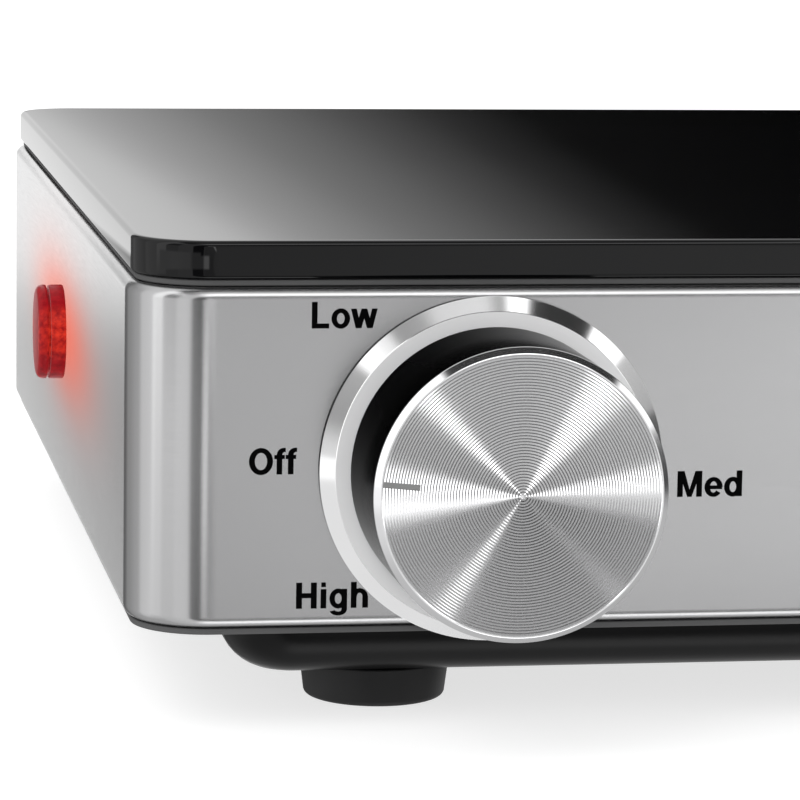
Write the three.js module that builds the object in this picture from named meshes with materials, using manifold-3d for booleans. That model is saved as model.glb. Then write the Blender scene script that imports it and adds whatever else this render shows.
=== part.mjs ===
// Single-zone electric hot plate: a stainless housing with a black glass-ceramic top, a radiant heater
// held up against the glass by springs, a rotary regulator behind the front wall and an indicator lamp
// in the left wall. Millimetres, +Z up, the knob faces -Y. The origin is on the floor, under the middle
// of the overall footprint.
import * as THREE from "three";
import { mergeVertices } from "three/addons/utils/BufferGeometryUtils.js";
import Module from "manifold-3d";

const wasm = await Module();
wasm.setup();

// ---------- driving dimensions ----------

const gap = 0.3; // running clearance round a piece that passes through or turns in another
const seat = 0.05; // between faces that lie on each other
const cutOver = 2; // how far a cutting tool runs past the faces it cuts

// housing
const bodyWidth = 240;
const bodyDepth = 240;
const shellHeight = 50;
const shellSheet = 0.8;
const cornerRadius = 12;
const shellEdgeRadius = 1.8;
const topFlangeWidth = 14;
const sealThickness = 1;
const upperSealInset = 1.4;
const upperSealWidth = 8;
const lowerSealInset = 1;
const lowerSealWidth = 3.6;
const glassThickness = 5.6;
const glassInset = 0.8;
const glassTopChamfer = 0.8;
const glassBottomChamfer = 0.6;

// base pan
const panDrop = 10.5; // below the shell's lower edge
const panInsetSide = 15.5;
const panInsetFront = 12;
const panCornerRadius = 11;
const panEdgeRadius = 8;
const panSheet = 0.8;
const panRimWidth = 9;
const ventLength = 34;
const ventWidth = 3;
const ventPitch = 8;
const ventsPerGroup = 6;
const ventGroupOffset = 34;

// feet
const footHeight = 6;
const footRadius = 11.6;
const footTaper = 0.6;
const footEdge = 0.6;
const footInsetSide = 40.5;
const footInsetFront = 30;
const footRecessRadius = 4.4;
const footRecessDepth = 3.4;

// screws
const screwRadius = 1.5;
const screwHeadRadius = 2.8;
const screwHeadHeight = 1.6;
const screwStickOut = 2.5; // past the last sheet that it holds
const panScrewInset = 11;
const panScrewSpacing = 150;

// heater
const heaterClearance = 8; // from the heater to anything beside it
const heaterTopGap = 2.5; // from the heater's rim to the glass
const dishSheet = 0.8;
const dishHeight = 29;
const baseThickness = 12;
const ringThickness = 8;
const ribbonHeight = 5;
const ribbonThickness = 1.2;
const ribbonInnerRadius = 16;
const ribbonTurns = 4;
const ribbonMargin = 6;
const limiterRadius = 2.6;
const limiterDepth = 6; // from the glass to the rod's axis
const limiterRodMargin = 6;
const limiterHeadRadial = 16;
const limiterHeadWidth = 28;
const limiterHeadHeight = 14;
const limiterHeadDrop = 4; // of its middle below the rod
const limiterBearing = Math.PI / 4; // from +X towards the rear

// springs and the bar that carries them
const springLength = 12;
const springRadius = 5;
const springWire = 0.7; // radius of the wire
const springTurns = 4;
const springOffset = 46;
const barWidth = 16;
const barSheet = 1.2;
const barFootLength = 14;
const barSpan = 150;

// knob
const knobInset = 52.5; // from the left wall
const knobRise = 23.3; // above the shell's lower edge
const knobRadius = 21.1;
const knobDepth = 24; // from the front wall to the knob's face
const knobWall = 0.8;
const knobFace = 1;
const knobChamfer = 0.9;
const skirtRadius = 25.4;
const skirtBevel = 2.1; // how far the skirt's cone comes in
const skirtLip = 0.3;
const skirtStandOff = 0.5;
const skirtThickness = 1.9;
const skirtBore = 17.6;
const coreRim = 2;
const coreWeb = 2;
const hubRadius = 6;
const hubStandOff = 3; // from the front wall
const clipThickness = 0.6;
const clipLength = 6;
const sweepAngle = (315 / 180) * Math.PI; // from Off to High

// regulator
const shaftRadius = 3;
const shaftFlat = 0.9;
const bushRadius = 5;
const bushReach = 2; // out of the front wall
const plateWidth = 42;
const plateHeight = 34;
const plateSheet = 1.2;
const regulatorScrewSpacing = 28;
const regulatorScrewDepth = 5; // in the case
const caseSize = 38;
const caseDepth = 21;
const caseWall = 2;
const caseBossRadius = 3;
const coverThickness = 2.2;
const camRadius = 5;
const camRise = 0.25; // mm of radius for each radian of turn
const camFallAngle = 0.5; // the steep side, radians
const camThickness = 4;
const camSetback = 5; // from the case's front wall
const leverArm = 10; // from the pivot to the nose
const leverTail = 9;
const leverThickness = 3;
const leverHeight = 2;
const leverNoseRadius = 1.2;
const leverLift = 1.5; // of the lever's middle above its nose
const leverBossRadius = 2.6;
const leverPinRadius = 1.2;
const tabWidth = 6.3;
const tabSheet = 0.8;
const tabLength = 9; // behind the cover
const tabSpacing = 16;
const tabInside = 3; // in front of the cover

// indicator lamp
const lampSetback = 118.6; // from the front wall
const lampRise = 27.8; // above the shell's lower edge
const lampRadius = 8.05;
const lampFlange = 2.5;
const lampGroove = 0.4;
const lampGrooveDepth = 0.8;
const lampCap = 1.7;
const lampHollow = 3.2;
const lensNeckRadius = 4.2;
const lensNeckLength = 5;
const lampBodyRadius = 6;
const lampBodyWall = 1.4;
const lampBodyLength = 20;
const lampLeadBore = 2.6;
const lampClipWidth = 3;
const lampClipSheet = 0.8;
const neonRadius = 2.2;
const neonLength = 11;

// mains side
const glandX = 62;
const glandRise = 15; // above the shell's lower edge
const glandFlangeRadius = 8.5;
const glandFlange = 3;
const glandNeckRadius = 6.8;
const glandBarbRadius = 8;
const glandBarb = 2.7;
const glandBore = 4.3;
const blockWidth = 30;
const blockDepth = 16;
const blockHeight = 13;
const blockPoles = 3;
const blockBore = 2;
const blockWellRadius = 2.1;
const blockSetback = 30; // from the rear wall to the block's middle
const blockScrewDepth = 3; // in the block
const earthOffset = 30; // from the block's middle
const earthTabLength = 16;
const earthTabWidth = 8;
const wireRadius = 1.2;
const wireLift = 6; // of a wire's axis above the pan's floor
const wireStep = 5; // between the sections of a wire
const wireInset = 20; // of the live wire from the bar's left foot

// ---------- places worked out from them ----------

const halfWidth = bodyWidth / 2;
const halfDepth = bodyDepth / 2;
const panFloorZ = footHeight;
const panInsideZ = panFloorZ + panSheet;
const shellBottomZ = panFloorZ + panDrop;
const shellTopZ = shellBottomZ + shellHeight;
const glassBottomZ = shellTopZ + sealThickness;
const frontY = -halfDepth;
const leftX = -halfWidth;
const knobX = leftX + knobInset;
const knobZ = shellBottomZ + knobRise;
const lampY = frontY + lampSetback;
const lampZ = shellBottomZ + lampRise;
const plateY = frontY + shellSheet + seat;
const caseY = plateY + plateSheet + seat;
const caseBackY = caseY + caseDepth;
const coverBackY = caseBackY + seat + coverThickness;
const tabEndY = coverBackY + tabLength + gap;
const tabEdgeX = knobX + tabSpacing / 2 + tabWidth / 2;
const coverClear = Math.hypot(knobX + caseSize / 2, coverBackY) - heaterClearance;
const tabClear = Math.hypot(tabEdgeX, tabEndY) - heaterClearance;
const lampClear = halfWidth - lampBodyLength - heaterClearance;
const flangeClear = Math.min(halfWidth, halfDepth) - topFlangeWidth;
const dishRadius = Math.min(lampClear, coverClear, tabClear, flangeClear);
const dishTopZ = glassBottomZ - heaterTopGap;
const dishBottomZ = dishTopZ - dishHeight;
const liningRadius = dishRadius - dishSheet - seat;
const baseBottomZ = dishBottomZ + dishSheet + seat;
const ringBottomZ = baseBottomZ + baseThickness + seat;
const ringInnerRadius = liningRadius - ringThickness;
const limiterZ = glassBottomZ - limiterDepth;
const barTopZ = dishBottomZ - springLength - 2 * seat;
const barHeight = barTopZ - panInsideZ - seat;
const lampProtrusion = seat + lampFlange + lampGroove + lampCap;
const glandProtrusion = seat + glandFlange;
const blockX = glandX;
const blockY = halfDepth - blockSetback;
const footPlaces = [-1, 1].flatMap((sideX) =>
  [-1, 1].map((sideY) => [sideX * (halfWidth - footInsetSide), sideY * (halfDepth - footInsetFront)]),
);
const panScrewPlaces = [-1, 1].flatMap((sideX) =>
  [-1, 1].map((sideY) => [sideX * (halfWidth - panScrewInset), (sideY * panScrewSpacing) / 2]),
);
const barScrewPlaces = [-1, 1].map((side) => [(side * (barSpan + barFootLength)) / 2, 0]);
const regulatorScrewPlaces = [-1, 1].map((side) => knobX + (side * regulatorScrewSpacing) / 2);
const tabPlaces = [-1, 1].flatMap((sideX) =>
  [-1, 1].map((sideZ) => [(sideX * tabSpacing) / 2, (sideZ * tabSpacing) / 2]),
);

// ---------- materials ----------

const finish = (color, roughness, metalness) =>
  new THREE.MeshStandardMaterial({ color, roughness, metalness });
const stainless = finish(0xb9babc, 0.32, 1);
const spunAluminium = finish(0xd2d3d5, 0.22, 1);
const zincSteel = finish(0x9a9da0, 0.4, 1);
const springSteel = finish(0x6e7276, 0.35, 1);
const brass = finish(0xc4a052, 0.35, 1);
const blackGlass = finish(0x050506, 0.05, 0);
const greySeal = finish(0x454545, 0.7, 0);
const blackPaint = finish(0x0a0a0b, 0.4, 0.2);
const blackRubber = finish(0x1b1b1c, 0.75, 0);
const blackPlastic = finish(0x161617, 0.5, 0);
const creamCeramic = finish(0xe6dfcd, 0.8, 0);
const insulation = finish(0xcfc6b4, 0.95, 0);
const ribbonAlloy = finish(0x4c4642, 0.6, 0.9);
const whiteNylon = finish(0xe8e8e6, 0.5, 0);
const redLens = finish(0xb3121c, 0.15, 0);
const clearGlass = finish(0xf0d0c8, 0.05, 0);
const wireColours = {
  live: finish(0x5b3a22, 0.55, 0),
  neutral: finish(0x2a4f92, 0.55, 0),
  switched: finish(0x202022, 0.55, 0),
  lamp: finish(0x9c2620, 0.55, 0),
  earth: finish(0x4f8a3a, 0.55, 0),
};

// ---------- solids ----------

// A closed geometry as a manifold with its faces turned outwards.
function toManifold(geometry) {
  const bare = geometry.clone();
  bare.deleteAttribute("normal");
  bare.deleteAttribute("uv");
  const merged = mergeVertices(bare, 1e-4);
  const vertProperties = merged.attributes.position.array;
  const corners = new Uint32Array(merged.index.array);
  const build = (triVerts) => new wasm.Manifold(new wasm.Mesh({ numProp: 3, vertProperties, triVerts }));
  const made = build(corners);
  return made.volume() > 0 ? made : build(corners.reverse());
}

function toGeometry(manifold) {
  const mesh = manifold.getMesh();
  const geometry = new THREE.BufferGeometry();
  geometry.setAttribute("position", new THREE.BufferAttribute(new Float32Array(mesh.vertProperties), 3));
  geometry.setIndex(new THREE.BufferAttribute(new Uint32Array(mesh.triVerts), 1));
  return geometry;
}

const closed = (geometry) => toGeometry(toManifold(geometry));

function cut(geometry, ...tools) {
  return toGeometry(tools.reduce((body, tool) => body.subtract(toManifold(tool)), toManifold(geometry)));
}

function join(geometry, ...others) {
  return toGeometry(others.reduce((body, other) => body.add(toManifold(other)), toManifold(geometry)));
}

// A box whose middle stands at x, y with its lower face at z.
const standingBox = (sizeX, sizeY, sizeZ, x = 0, y = 0, z = 0) =>
  new THREE.BoxGeometry(sizeX, sizeY, sizeZ).translate(x, y, z + sizeZ / 2);

// Solids of revolution. An outline is a list of [radius, height] pairs, the height along the axis of turning.
function turnedY(outline, segments = 32) {
  const loop = outline.map(([radius, height]) => new THREE.Vector2(radius, height));
  if (outline[0][0] > 0) loop.push(loop[0].clone());
  return closed(new THREE.LatheGeometry(loop, segments));
}

const turnedZ = (outline, segments) => turnedY(outline, segments).rotateX(Math.PI / 2);
const turnedX = (outline, segments) => turnedY(outline, segments).rotateZ(-Math.PI / 2);
const rod = (radius, from, to) => [[0, from], [radius, from], [radius, to], [0, to]];
const tube = (inner, outer, from, to) => [[inner, from], [outer, from], [outer, to], [inner, to]];

// Points round a rounded rectangle, brought in by inset.
function roundedOutline(halfX, halfY, radius, inset = 0, stepsPerCorner = 5) {
  const round = Math.max(radius - inset, gap);
  const points = [];
  [[1, 1], [-1, 1], [-1, -1], [1, -1]].forEach(([signX, signY], corner) => {
    for (let step = 0; step <= stepsPerCorner; step++) {
      const angle = (corner + step / stepsPerCorner) * (Math.PI / 2);
      points.push([
        signX * (halfX - inset - round) + round * Math.cos(angle),
        signY * (halfY - inset - round) + round * Math.sin(angle),
      ]);
    }
  });
  return points;
}

// A profile of [inset, z] pairs carried round a rounded rectangle. A frame's profile closes on itself;
// without that, the first and last rings are closed by flat faces.
function carried(halfX, halfY, radius, profile, isFrame = false) {
  const rings = profile.map(([inset, z]) =>
    roundedOutline(halfX, halfY, radius, inset).map(([x, y]) => [x, y, z]),
  );
  const count = rings[0].length;
  const last = (rings.length - 1) * count;
  const index = [];
  const strips = isFrame ? rings.length : rings.length - 1;
  for (let ring = 0; ring < strips; ring++) {
    const here = ring * count;
    const next = ((ring + 1) % rings.length) * count;
    for (let i = 0; i < count; i++) {
      const j = (i + 1) % count;
      index.push(here + i, here + j, next + j, here + i, next + j, next + i);
    }
  }
  for (let i = 1; i < count - 1 && !isFrame; i++) {
    index.push(0, i + 1, i, last, last + i, last + i + 1);
  }
  const geometry = new THREE.BufferGeometry();
  geometry.setAttribute("position", new THREE.Float32BufferAttribute(rings.flat(2), 3));
  geometry.setIndex(index);
  return closed(geometry);
}

// [inset, z] points of a profile's arc, between two angles.
function arc(inset, z, radius, from, to, steps = 4) {
  return Array.from({ length: steps + 1 }, (_, i) => {
    const angle = from + ((to - from) * i) / steps;
    return [inset + radius * Math.cos(angle), z + radius * Math.sin(angle)];
  });
}

// An outline in X and Y, raised along Z.
function raised(points, height) {
  const shape = new THREE.Shape(points.map(([x, y]) => new THREE.Vector2(x, y)));
  return closed(new THREE.ExtrudeGeometry(shape, { depth: height, bevelEnabled: false }));
}

// An outline in X and Z, drawn from front to back. It starts at y = 0 and ends at y = depth.
const drawnBack = (points, depth) => raised(points, depth).rotateX(Math.PI / 2).translate(0, depth, 0);

// A round wire along a curve.
function wireAlong(curve, radius, steps, sides) {
  const section = new THREE.Shape(
    Array.from({ length: sides }, (_, i) => {
      const angle = (i / sides) * 2 * Math.PI;
      return new THREE.Vector2(radius * Math.cos(angle), radius * Math.sin(angle));
    }),
  );
  return closed(new THREE.ExtrudeGeometry(section, { steps, extrudePath: curve, bevelEnabled: false }));
}

// A screw that points up: the head's underside is at z = 0.
function screw(length) {
  const outline = [
    [0, -screwHeadHeight],
    [screwHeadRadius * 0.7, -screwHeadHeight],
    [screwHeadRadius, -screwHeadHeight * 0.45],
    [screwHeadRadius, 0],
    [screwRadius, 0],
    [screwRadius, length],
    [0, length],
  ];
  return turnedZ(outline, 8);
}

const screwHole = () => turnedZ(rod(screwRadius + gap, -cutOver, footHeight + cutOver), 8);

const hotPlate = new THREE.Group();
const model = new THREE.Group();
model.position.set(lampProtrusion / 2, (knobDepth - glandProtrusion) / 2, 0);
hotPlate.add(model);

function add(name, geometry, material, x = 0, y = 0, z = 0) {
  const mesh = new THREE.Mesh(geometry, material);
  mesh.name = name;
  mesh.position.set(x, y, z);
  model.add(mesh);
  return mesh;
}

// ---------- housing ----------

function shellGeometry() {
  const edge = shellEdgeRadius;
  const inner = edge - shellSheet;
  const flangeReach = Math.max(panInsetSide, panInsetFront) + cutOver;
  const profile = [
    ...arc(edge, edge, edge, -Math.PI / 2, -Math.PI),
    ...arc(edge, shellHeight - edge, edge, Math.PI, Math.PI / 2),
    [topFlangeWidth, shellHeight],
    [topFlangeWidth, shellHeight - shellSheet],
    ...arc(edge, shellHeight - edge, inner, Math.PI / 2, Math.PI, 2),
    ...arc(edge, edge, inner, Math.PI, (3 * Math.PI) / 2, 2),
    [flangeReach, shellSheet],
    [flangeReach, 0],
  ];
  const panOpening = raised(
    roundedOutline(halfWidth - panInsetSide + gap, halfDepth - panInsetFront + gap, panCornerRadius + gap),
    shellSheet + 2 * cutOver,
  );
  const wallHole = (radius) => turnedY(rod(radius, -cutOver, shellSheet + cutOver), 24);
  return cut(
    carried(halfWidth, halfDepth, cornerRadius, profile, true),
    panOpening.translate(0, 0, -cutOver),
    wallHole(bushRadius + gap).translate(knobX, frontY, knobRise),
    wallHole(glandNeckRadius + gap).translate(glandX, halfDepth - shellSheet, glandRise),
    turnedX(rod(lampBodyRadius + gap, -cutOver, shellSheet + cutOver), 24).translate(leftX, lampY, lampRise),
    ...regulatorScrewPlaces.map((x) => wallHole(screwRadius + gap).translate(x, frontY, knobRise)),
    ...panScrewPlaces.map(([x, y]) => screwHole().translate(x, y, 0)),
  );
}

function sealGeometry(inset, width) {
  const thickness = sealThickness - 2 * seat;
  const profile = [[inset, 0], [inset, thickness], [inset + width, thickness], [inset + width, 0]];
  return carried(halfWidth, halfDepth, cornerRadius, profile, true);
}

function glassGeometry() {
  const profile = [
    [glassInset + glassBottomChamfer, 0],
    [glassInset, glassBottomChamfer],
    [glassInset, glassThickness - glassTopChamfer],
    [glassInset + glassTopChamfer, glassThickness],
  ];
  return carried(halfWidth, halfDepth, cornerRadius, profile);
}

add("shell", shellGeometry(), stainless, 0, 0, shellBottomZ);
add("upper_seal", sealGeometry(upperSealInset, upperSealWidth), greySeal, 0, 0, shellTopZ + seat);
const lowerSealZ = shellBottomZ - sealThickness + seat;
add("lower_seal", sealGeometry(lowerSealInset, lowerSealWidth), greySeal, 0, 0, lowerSealZ);
add("glass_top", glassGeometry(), blackGlass, 0, 0, glassBottomZ);

// ---------- base pan and feet ----------

// The pan drops through the shell's lower opening; its rim lies on the shell's lower flange.
function panGeometry() {
  const halfX = halfWidth - panInsetSide;
  const halfY = halfDepth - panInsetFront;
  const edge = panEdgeRadius;
  const rimZ = panDrop + shellSheet + seat;
  const profile = [
    ...arc(edge, edge, edge, -Math.PI / 2, -Math.PI),
    [0, rimZ],
    [-panRimWidth, rimZ],
    [-panRimWidth, rimZ + panSheet],
    [panSheet, rimZ + panSheet],
    ...arc(edge, edge, edge - panSheet, Math.PI, (3 * Math.PI) / 2),
  ];
  const vents = [-1, 1].flatMap((side) =>
    Array.from({ length: ventsPerGroup }, (_, i) => {
      const y = (i - (ventsPerGroup - 1) / 2) * ventPitch;
      const outline = roundedOutline(ventLength / 2, ventWidth / 2, ventWidth / 2, 0, 1);
      return raised(outline, panSheet + 2 * cutOver).translate(side * ventGroupOffset, y, -cutOver);
    }),
  );
  const screwPlaces = [...footPlaces, ...barScrewPlaces, [blockX, blockY], [blockX - earthOffset, blockY]];
  return cut(
    carried(halfX, halfY, panCornerRadius, profile),
    ...vents,
    ...screwPlaces.map(([x, y]) => screwHole().translate(x, y, 0)),
    ...panScrewPlaces.map(([x, y]) => screwHole().translate(x, y, rimZ)),
  );
}

function footGeometry() {
  const outline = [
    [footRecessRadius, 0],
    [footRadius - footTaper - footEdge, 0],
    [footRadius - footTaper, footEdge],
    [footRadius, footHeight - seat],
    [screwRadius + gap, footHeight - seat],
    [screwRadius + gap, footRecessDepth],
    [footRecessRadius, footRecessDepth],
  ];
  return turnedZ(outline, 22);
}

add("base_pan", panGeometry(), blackPaint, 0, 0, panFloorZ);
const corners = ["front_left", "rear_left", "front_right", "rear_right"];
footPlaces.forEach(([x, y], i) => {
  const length = footHeight - footRecessDepth + panSheet + screwStickOut;
  add(`foot_${corners[i]}`, footGeometry(), blackRubber, x, y);
  add(`foot_screw_${corners[i]}`, screw(length), zincSteel, x, y, footRecessDepth - seat);
});
panScrewPlaces.forEach(([x, y], i) => {
  const length = shellSheet + panSheet + screwStickOut;
  add(`pan_screw_${corners[i]}`, screw(length), zincSteel, x, y, shellBottomZ - seat);
});

// ---------- heater ----------

// What the limiter's rod and its clearance take out of the heater's walls.
const limiterSpin = (geometry) => geometry.rotateZ(limiterBearing);
const limiterHole = (z) => {
  const reach = dishRadius + cutOver;
  const hole = turnedX(rod(limiterRadius + gap, -reach, reach), 16);
  return limiterSpin(hole.translate(0, 0, limiterZ - z));
};

function dishGeometry() {
  const outline = [
    [0, 0],
    [dishRadius, 0],
    [dishRadius, dishHeight],
    [dishRadius - dishSheet, dishHeight],
    [dishRadius - dishSheet, dishSheet],
    [0, dishSheet],
  ];
  return cut(turnedZ(outline, 48), limiterHole(dishBottomZ));
}

function insulationRingGeometry() {
  const height = dishTopZ - ringBottomZ;
  return cut(turnedZ(tube(ringInnerRadius, liningRadius, 0, height), 48), limiterHole(ringBottomZ));
}

// A flat ribbon on edge, wound in a spiral.
function ribbonGeometry() {
  const outerRadius = ringInnerRadius - ribbonMargin;
  const steps = 22 * ribbonTurns;
  const side = (offset) =>
    Array.from({ length: steps + 1 }, (_, i) => {
      const radius = ribbonInnerRadius + ((outerRadius - ribbonInnerRadius) * i) / steps + offset;
      const angle = (2 * Math.PI * ribbonTurns * i) / steps;
      return [radius * Math.cos(angle), radius * Math.sin(angle)];
    });
  return raised([...side(ribbonThickness / 2), ...side(-ribbonThickness / 2).reverse()], ribbonHeight);
}

function limiterHeadGeometry() {
  const block = standingBox(limiterHeadRadial, limiterHeadWidth, limiterHeadHeight);
  const socket = turnedX(rod(limiterRadius + gap, -limiterHeadRadial, 0), 16);
  return cut(block, socket.translate(0, 0, limiterHeadHeight / 2 + limiterHeadDrop));
}

add("heater_dish", dishGeometry(), zincSteel, 0, 0, dishBottomZ);
add("heater_base", turnedZ(rod(liningRadius, 0, baseThickness), 48), insulation, 0, 0, baseBottomZ);
add("heater_ring", insulationRingGeometry(), insulation, 0, 0, ringBottomZ);
add("heater_ribbon", ribbonGeometry(), ribbonAlloy, 0, 0, ringBottomZ);

const rodFrom = -(ringInnerRadius - limiterRodMargin);
const headFrom = dishRadius + gap;
add(
  "limiter_rod",
  limiterSpin(turnedX(rod(limiterRadius, rodFrom, headFrom + limiterHeadRadial / 2 - gap), 16)),
  springSteel, 0, 0, limiterZ,
);
add(
  "limiter_head",
  limiterSpin(limiterHeadGeometry().translate(headFrom + limiterHeadRadial / 2, 0, 0)),
  creamCeramic, 0, 0, limiterZ - limiterHeadDrop - limiterHeadHeight / 2,
);

// ---------- springs and their bar ----------

class SpringCurve extends THREE.Curve {
  getPoint(t, target = new THREE.Vector3()) {
    const angle = 2 * Math.PI * springTurns * t;
    const rise = springWire + (springLength - 2 * springWire) * t;
    return target.set(springRadius * Math.cos(angle), springRadius * Math.sin(angle), rise);
  }
}

// A hat-shaped strip: its two feet stand on the pan and its bridge carries the springs.
function barGeometry() {
  const top = barSpan / 2;
  const end = top + barFootLength;
  const outline = [
    [-end, 0], [-top + barSheet, 0], [-top + barSheet, barHeight - barSheet],
    [top - barSheet, barHeight - barSheet], [top - barSheet, 0], [end, 0], [end, barSheet],
    [top, barSheet], [top, barHeight], [-top, barHeight], [-top, barSheet], [-end, barSheet],
  ];
  const strip = drawnBack(outline, barWidth).translate(0, -barWidth / 2, 0);
  return cut(strip, ...barScrewPlaces.map(([x, y]) => screwHole().translate(x, y, 0)));
}

add("spring_bar", barGeometry(), zincSteel, 0, 0, panInsideZ + seat);
[["left", -1], ["right", 1]].forEach(([name, side], i) => {
  const spring = wireAlong(new SpringCurve(), springWire, 12 * springTurns, 5);
  add(`heater_spring_${name}`, spring, springSteel, side * springOffset, 0, barTopZ + seat);
  const [x, y] = barScrewPlaces[i];
  add(`bar_screw_${name}`, screw(panSheet + barSheet + screwStickOut), zincSteel, x, y, panFloorZ - seat);
});

// ---------- knob ----------

// Everything on the shaft is turned about Y with its heights counted from the front wall, outwards negative.
const onShaft = (name, geometry, material) => add(name, geometry, material, knobX, frontY, knobZ);
const skirtFront = -skirtStandOff - skirtThickness;
const capBack = skirtFront - seat;
const coreFront = -knobDepth + knobFace + seat;
const coreRadius = knobRadius - knobWall - gap;
const boreEnd = coreFront + coreWeb;

// A round bar with one flat, as a cutting tool or a shaft end, between two heights.
function flattenedBar(radius, flat, from, to) {
  const bar = turnedY(rod(radius, from, to), 24);
  const away = standingBox(2 * radius, to - from + 2 * cutOver, radius, 0, (from + to) / 2, radius - flat);
  return cut(bar, away);
}

function capGeometry() {
  const outline = [
    [0, -knobDepth],
    [knobRadius - knobChamfer, -knobDepth],
    [knobRadius, -knobDepth + knobChamfer],
    [knobRadius, capBack],
    [knobRadius - knobWall, capBack],
    [knobRadius - knobWall, -knobDepth + knobFace],
    [0, -knobDepth + knobFace],
  ];
  return turnedY(outline, 40);
}

function skirtGeometry() {
  const outline = [
    [skirtBore, -skirtStandOff],
    [skirtRadius, -skirtStandOff],
    [skirtRadius, -skirtStandOff - skirtLip],
    [skirtRadius - skirtBevel, skirtFront],
    [skirtBore, skirtFront],
  ];
  return turnedY(outline, 40);
}

function coreGeometry() {
  const outline = [
    [0, coreFront],
    [coreRadius, coreFront],
    [coreRadius, capBack],
    [coreRadius - coreRim, capBack],
    [coreRadius - coreRim, boreEnd],
    [hubRadius, boreEnd],
    [hubRadius, -hubStandOff],
    [0, -hubStandOff],
  ];
  const clipSlot = standingBox(2 * (shaftRadius + gap), clipLength + 2 * gap, clipThickness + 2 * gap);
  return cut(
    turnedY(outline, 28),
    flattenedBar(shaftRadius + gap, shaftFlat, boreEnd, 0),
    clipSlot.translate(0, -hubStandOff - clipLength / 2, shaftRadius - shaftFlat),
  );
}

// The leaf that takes up the play between the shaft's flat and the hub.
function clipGeometry() {
  return standingBox(2 * shaftRadius - 2 * gap, clipLength, clipThickness, 0, -hubStandOff - clipLength / 2);
}

onShaft("knob_cap", capGeometry(), spunAluminium);
onShaft("knob_skirt", skirtGeometry(), spunAluminium);
onShaft("knob_core", coreGeometry(), blackPlastic);
onShaft("knob_clip", clipGeometry().translate(0, 0, shaftRadius - shaftFlat + gap), springSteel);

// ---------- regulator ----------

const caseFromWall = caseY - frontY;
const camFrom = caseFromWall + caseWall + camSetback;
const shaftEnd = camFrom + camThickness + camSetback;

function shaftGeometry() {
  const plain = turnedY(rod(shaftRadius, -hubStandOff, shaftEnd), 24);
  return join(plain, flattenedBar(shaftRadius, shaftFlat, boreEnd + gap, -hubStandOff));
}

// The cam's radius grows evenly with the angle to the left of the top, then falls back steeply.
function camGeometry() {
  const riseAngle = 2 * Math.PI - camFallAngle;
  const steps = 30;
  const outline = Array.from({ length: steps }, (_, i) => {
    const turned = (riseAngle * i) / (steps - 1);
    const radius = camRadius + camRise * turned;
    return [-radius * Math.sin(turned), radius * Math.cos(turned)];
  });
  const disc = drawnBack(outline, camThickness).translate(0, camFrom, 0);
  return cut(disc, turnedY(rod(shaftRadius + seat, camFrom - cutOver, camFrom + camThickness + cutOver), 24));
}

const leverNoseZ = camRadius + gap + leverNoseRadius;
const leverZ = leverNoseZ + leverLift;
const leverFrom = camFrom + (camThickness - leverThickness) / 2;

function leverGeometry() {
  const strip = standingBox(leverArm + leverTail, leverThickness, leverHeight, 0, leverThickness / 2);
  const nose = turnedY(rod(leverNoseRadius, 0, leverThickness), 16).translate(0, 0, leverNoseZ);
  const stem = standingBox(leverNoseRadius, leverThickness, leverLift, 0, leverThickness / 2, leverNoseZ);
  const boss = turnedY(rod(leverBossRadius, 0, leverThickness), 20).translate(leverArm, 0, leverZ);
  const bore = turnedY(rod(leverPinRadius + gap, -cutOver, leverThickness + cutOver), 16);
  const placed = strip.translate((leverArm - leverTail) / 2, 0, leverZ - leverHeight / 2);
  const body = join(placed, nose, stem, boss);
  return cut(body, bore.translate(leverArm, 0, leverZ));
}

function plateGeometry() {
  const outline = roundedOutline(plateWidth / 2, plateHeight / 2, caseWall);
  const from = plateY - frontY;
  const sheet = drawnBack(outline, plateSheet).translate(0, from, 0);
  const bush = turnedY(rod(bushRadius, -bushReach, from + plateSheet / 2), 24);
  const bore = turnedY(rod(shaftRadius + gap, -bushReach - cutOver, from + plateSheet + cutOver), 24);
  const holes = regulatorScrewPlaces.map((x) =>
    turnedY(rod(screwRadius + gap, 0, from + plateSheet + cutOver), 16).translate(x - knobX, 0, 0),
  );
  return cut(join(sheet, bush), bore, ...holes);
}

// The case is open at the back. Two bosses take the screws, and a pin carries the lever.
function caseGeometry() {
  const innerSize = caseSize - 2 * caseWall;
  const middle = -caseSize / 2;
  const body = standingBox(caseSize, caseDepth, caseSize, 0, caseDepth / 2, middle);
  const hollow = standingBox(innerSize, caseDepth, innerSize, 0, caseDepth / 2 + caseWall, middle + caseWall);
  const bosses = regulatorScrewPlaces.map((x) => {
    const boss = turnedY(rod(caseBossRadius, caseWall / 2, regulatorScrewDepth + caseWall), 12);
    return boss.translate(x - knobX, 0, 0);
  });
  const holes = regulatorScrewPlaces.map((x) => {
    const hole = turnedY(rod(screwRadius + gap, -cutOver, regulatorScrewDepth + gap), 12);
    return hole.translate(x - knobX, 0, 0);
  });
  const pinEnd = leverFrom - caseFromWall + leverThickness + gap;
  const pin = turnedY(rod(leverPinRadius, caseWall / 2, pinEnd), 12).translate(leverArm, 0, leverZ);
  const shaftHole = turnedY(rod(shaftRadius + gap, -cutOver, caseWall + cutOver), 24);
  return cut(join(cut(body, hollow), ...bosses, pin), shaftHole, ...holes);
}

function coverGeometry() {
  const sheet = standingBox(caseSize, coverThickness, caseSize, 0, coverThickness / 2, -caseSize / 2);
  const slots = tabPlaces.map(([x, z]) => {
    const slot = standingBox(tabWidth + 2 * gap, coverThickness + 2 * cutOver, tabSheet + 2 * gap);
    return slot.translate(x, coverThickness / 2, z - tabSheet / 2 - gap);
  });
  return cut(sheet, ...slots);
}

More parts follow.
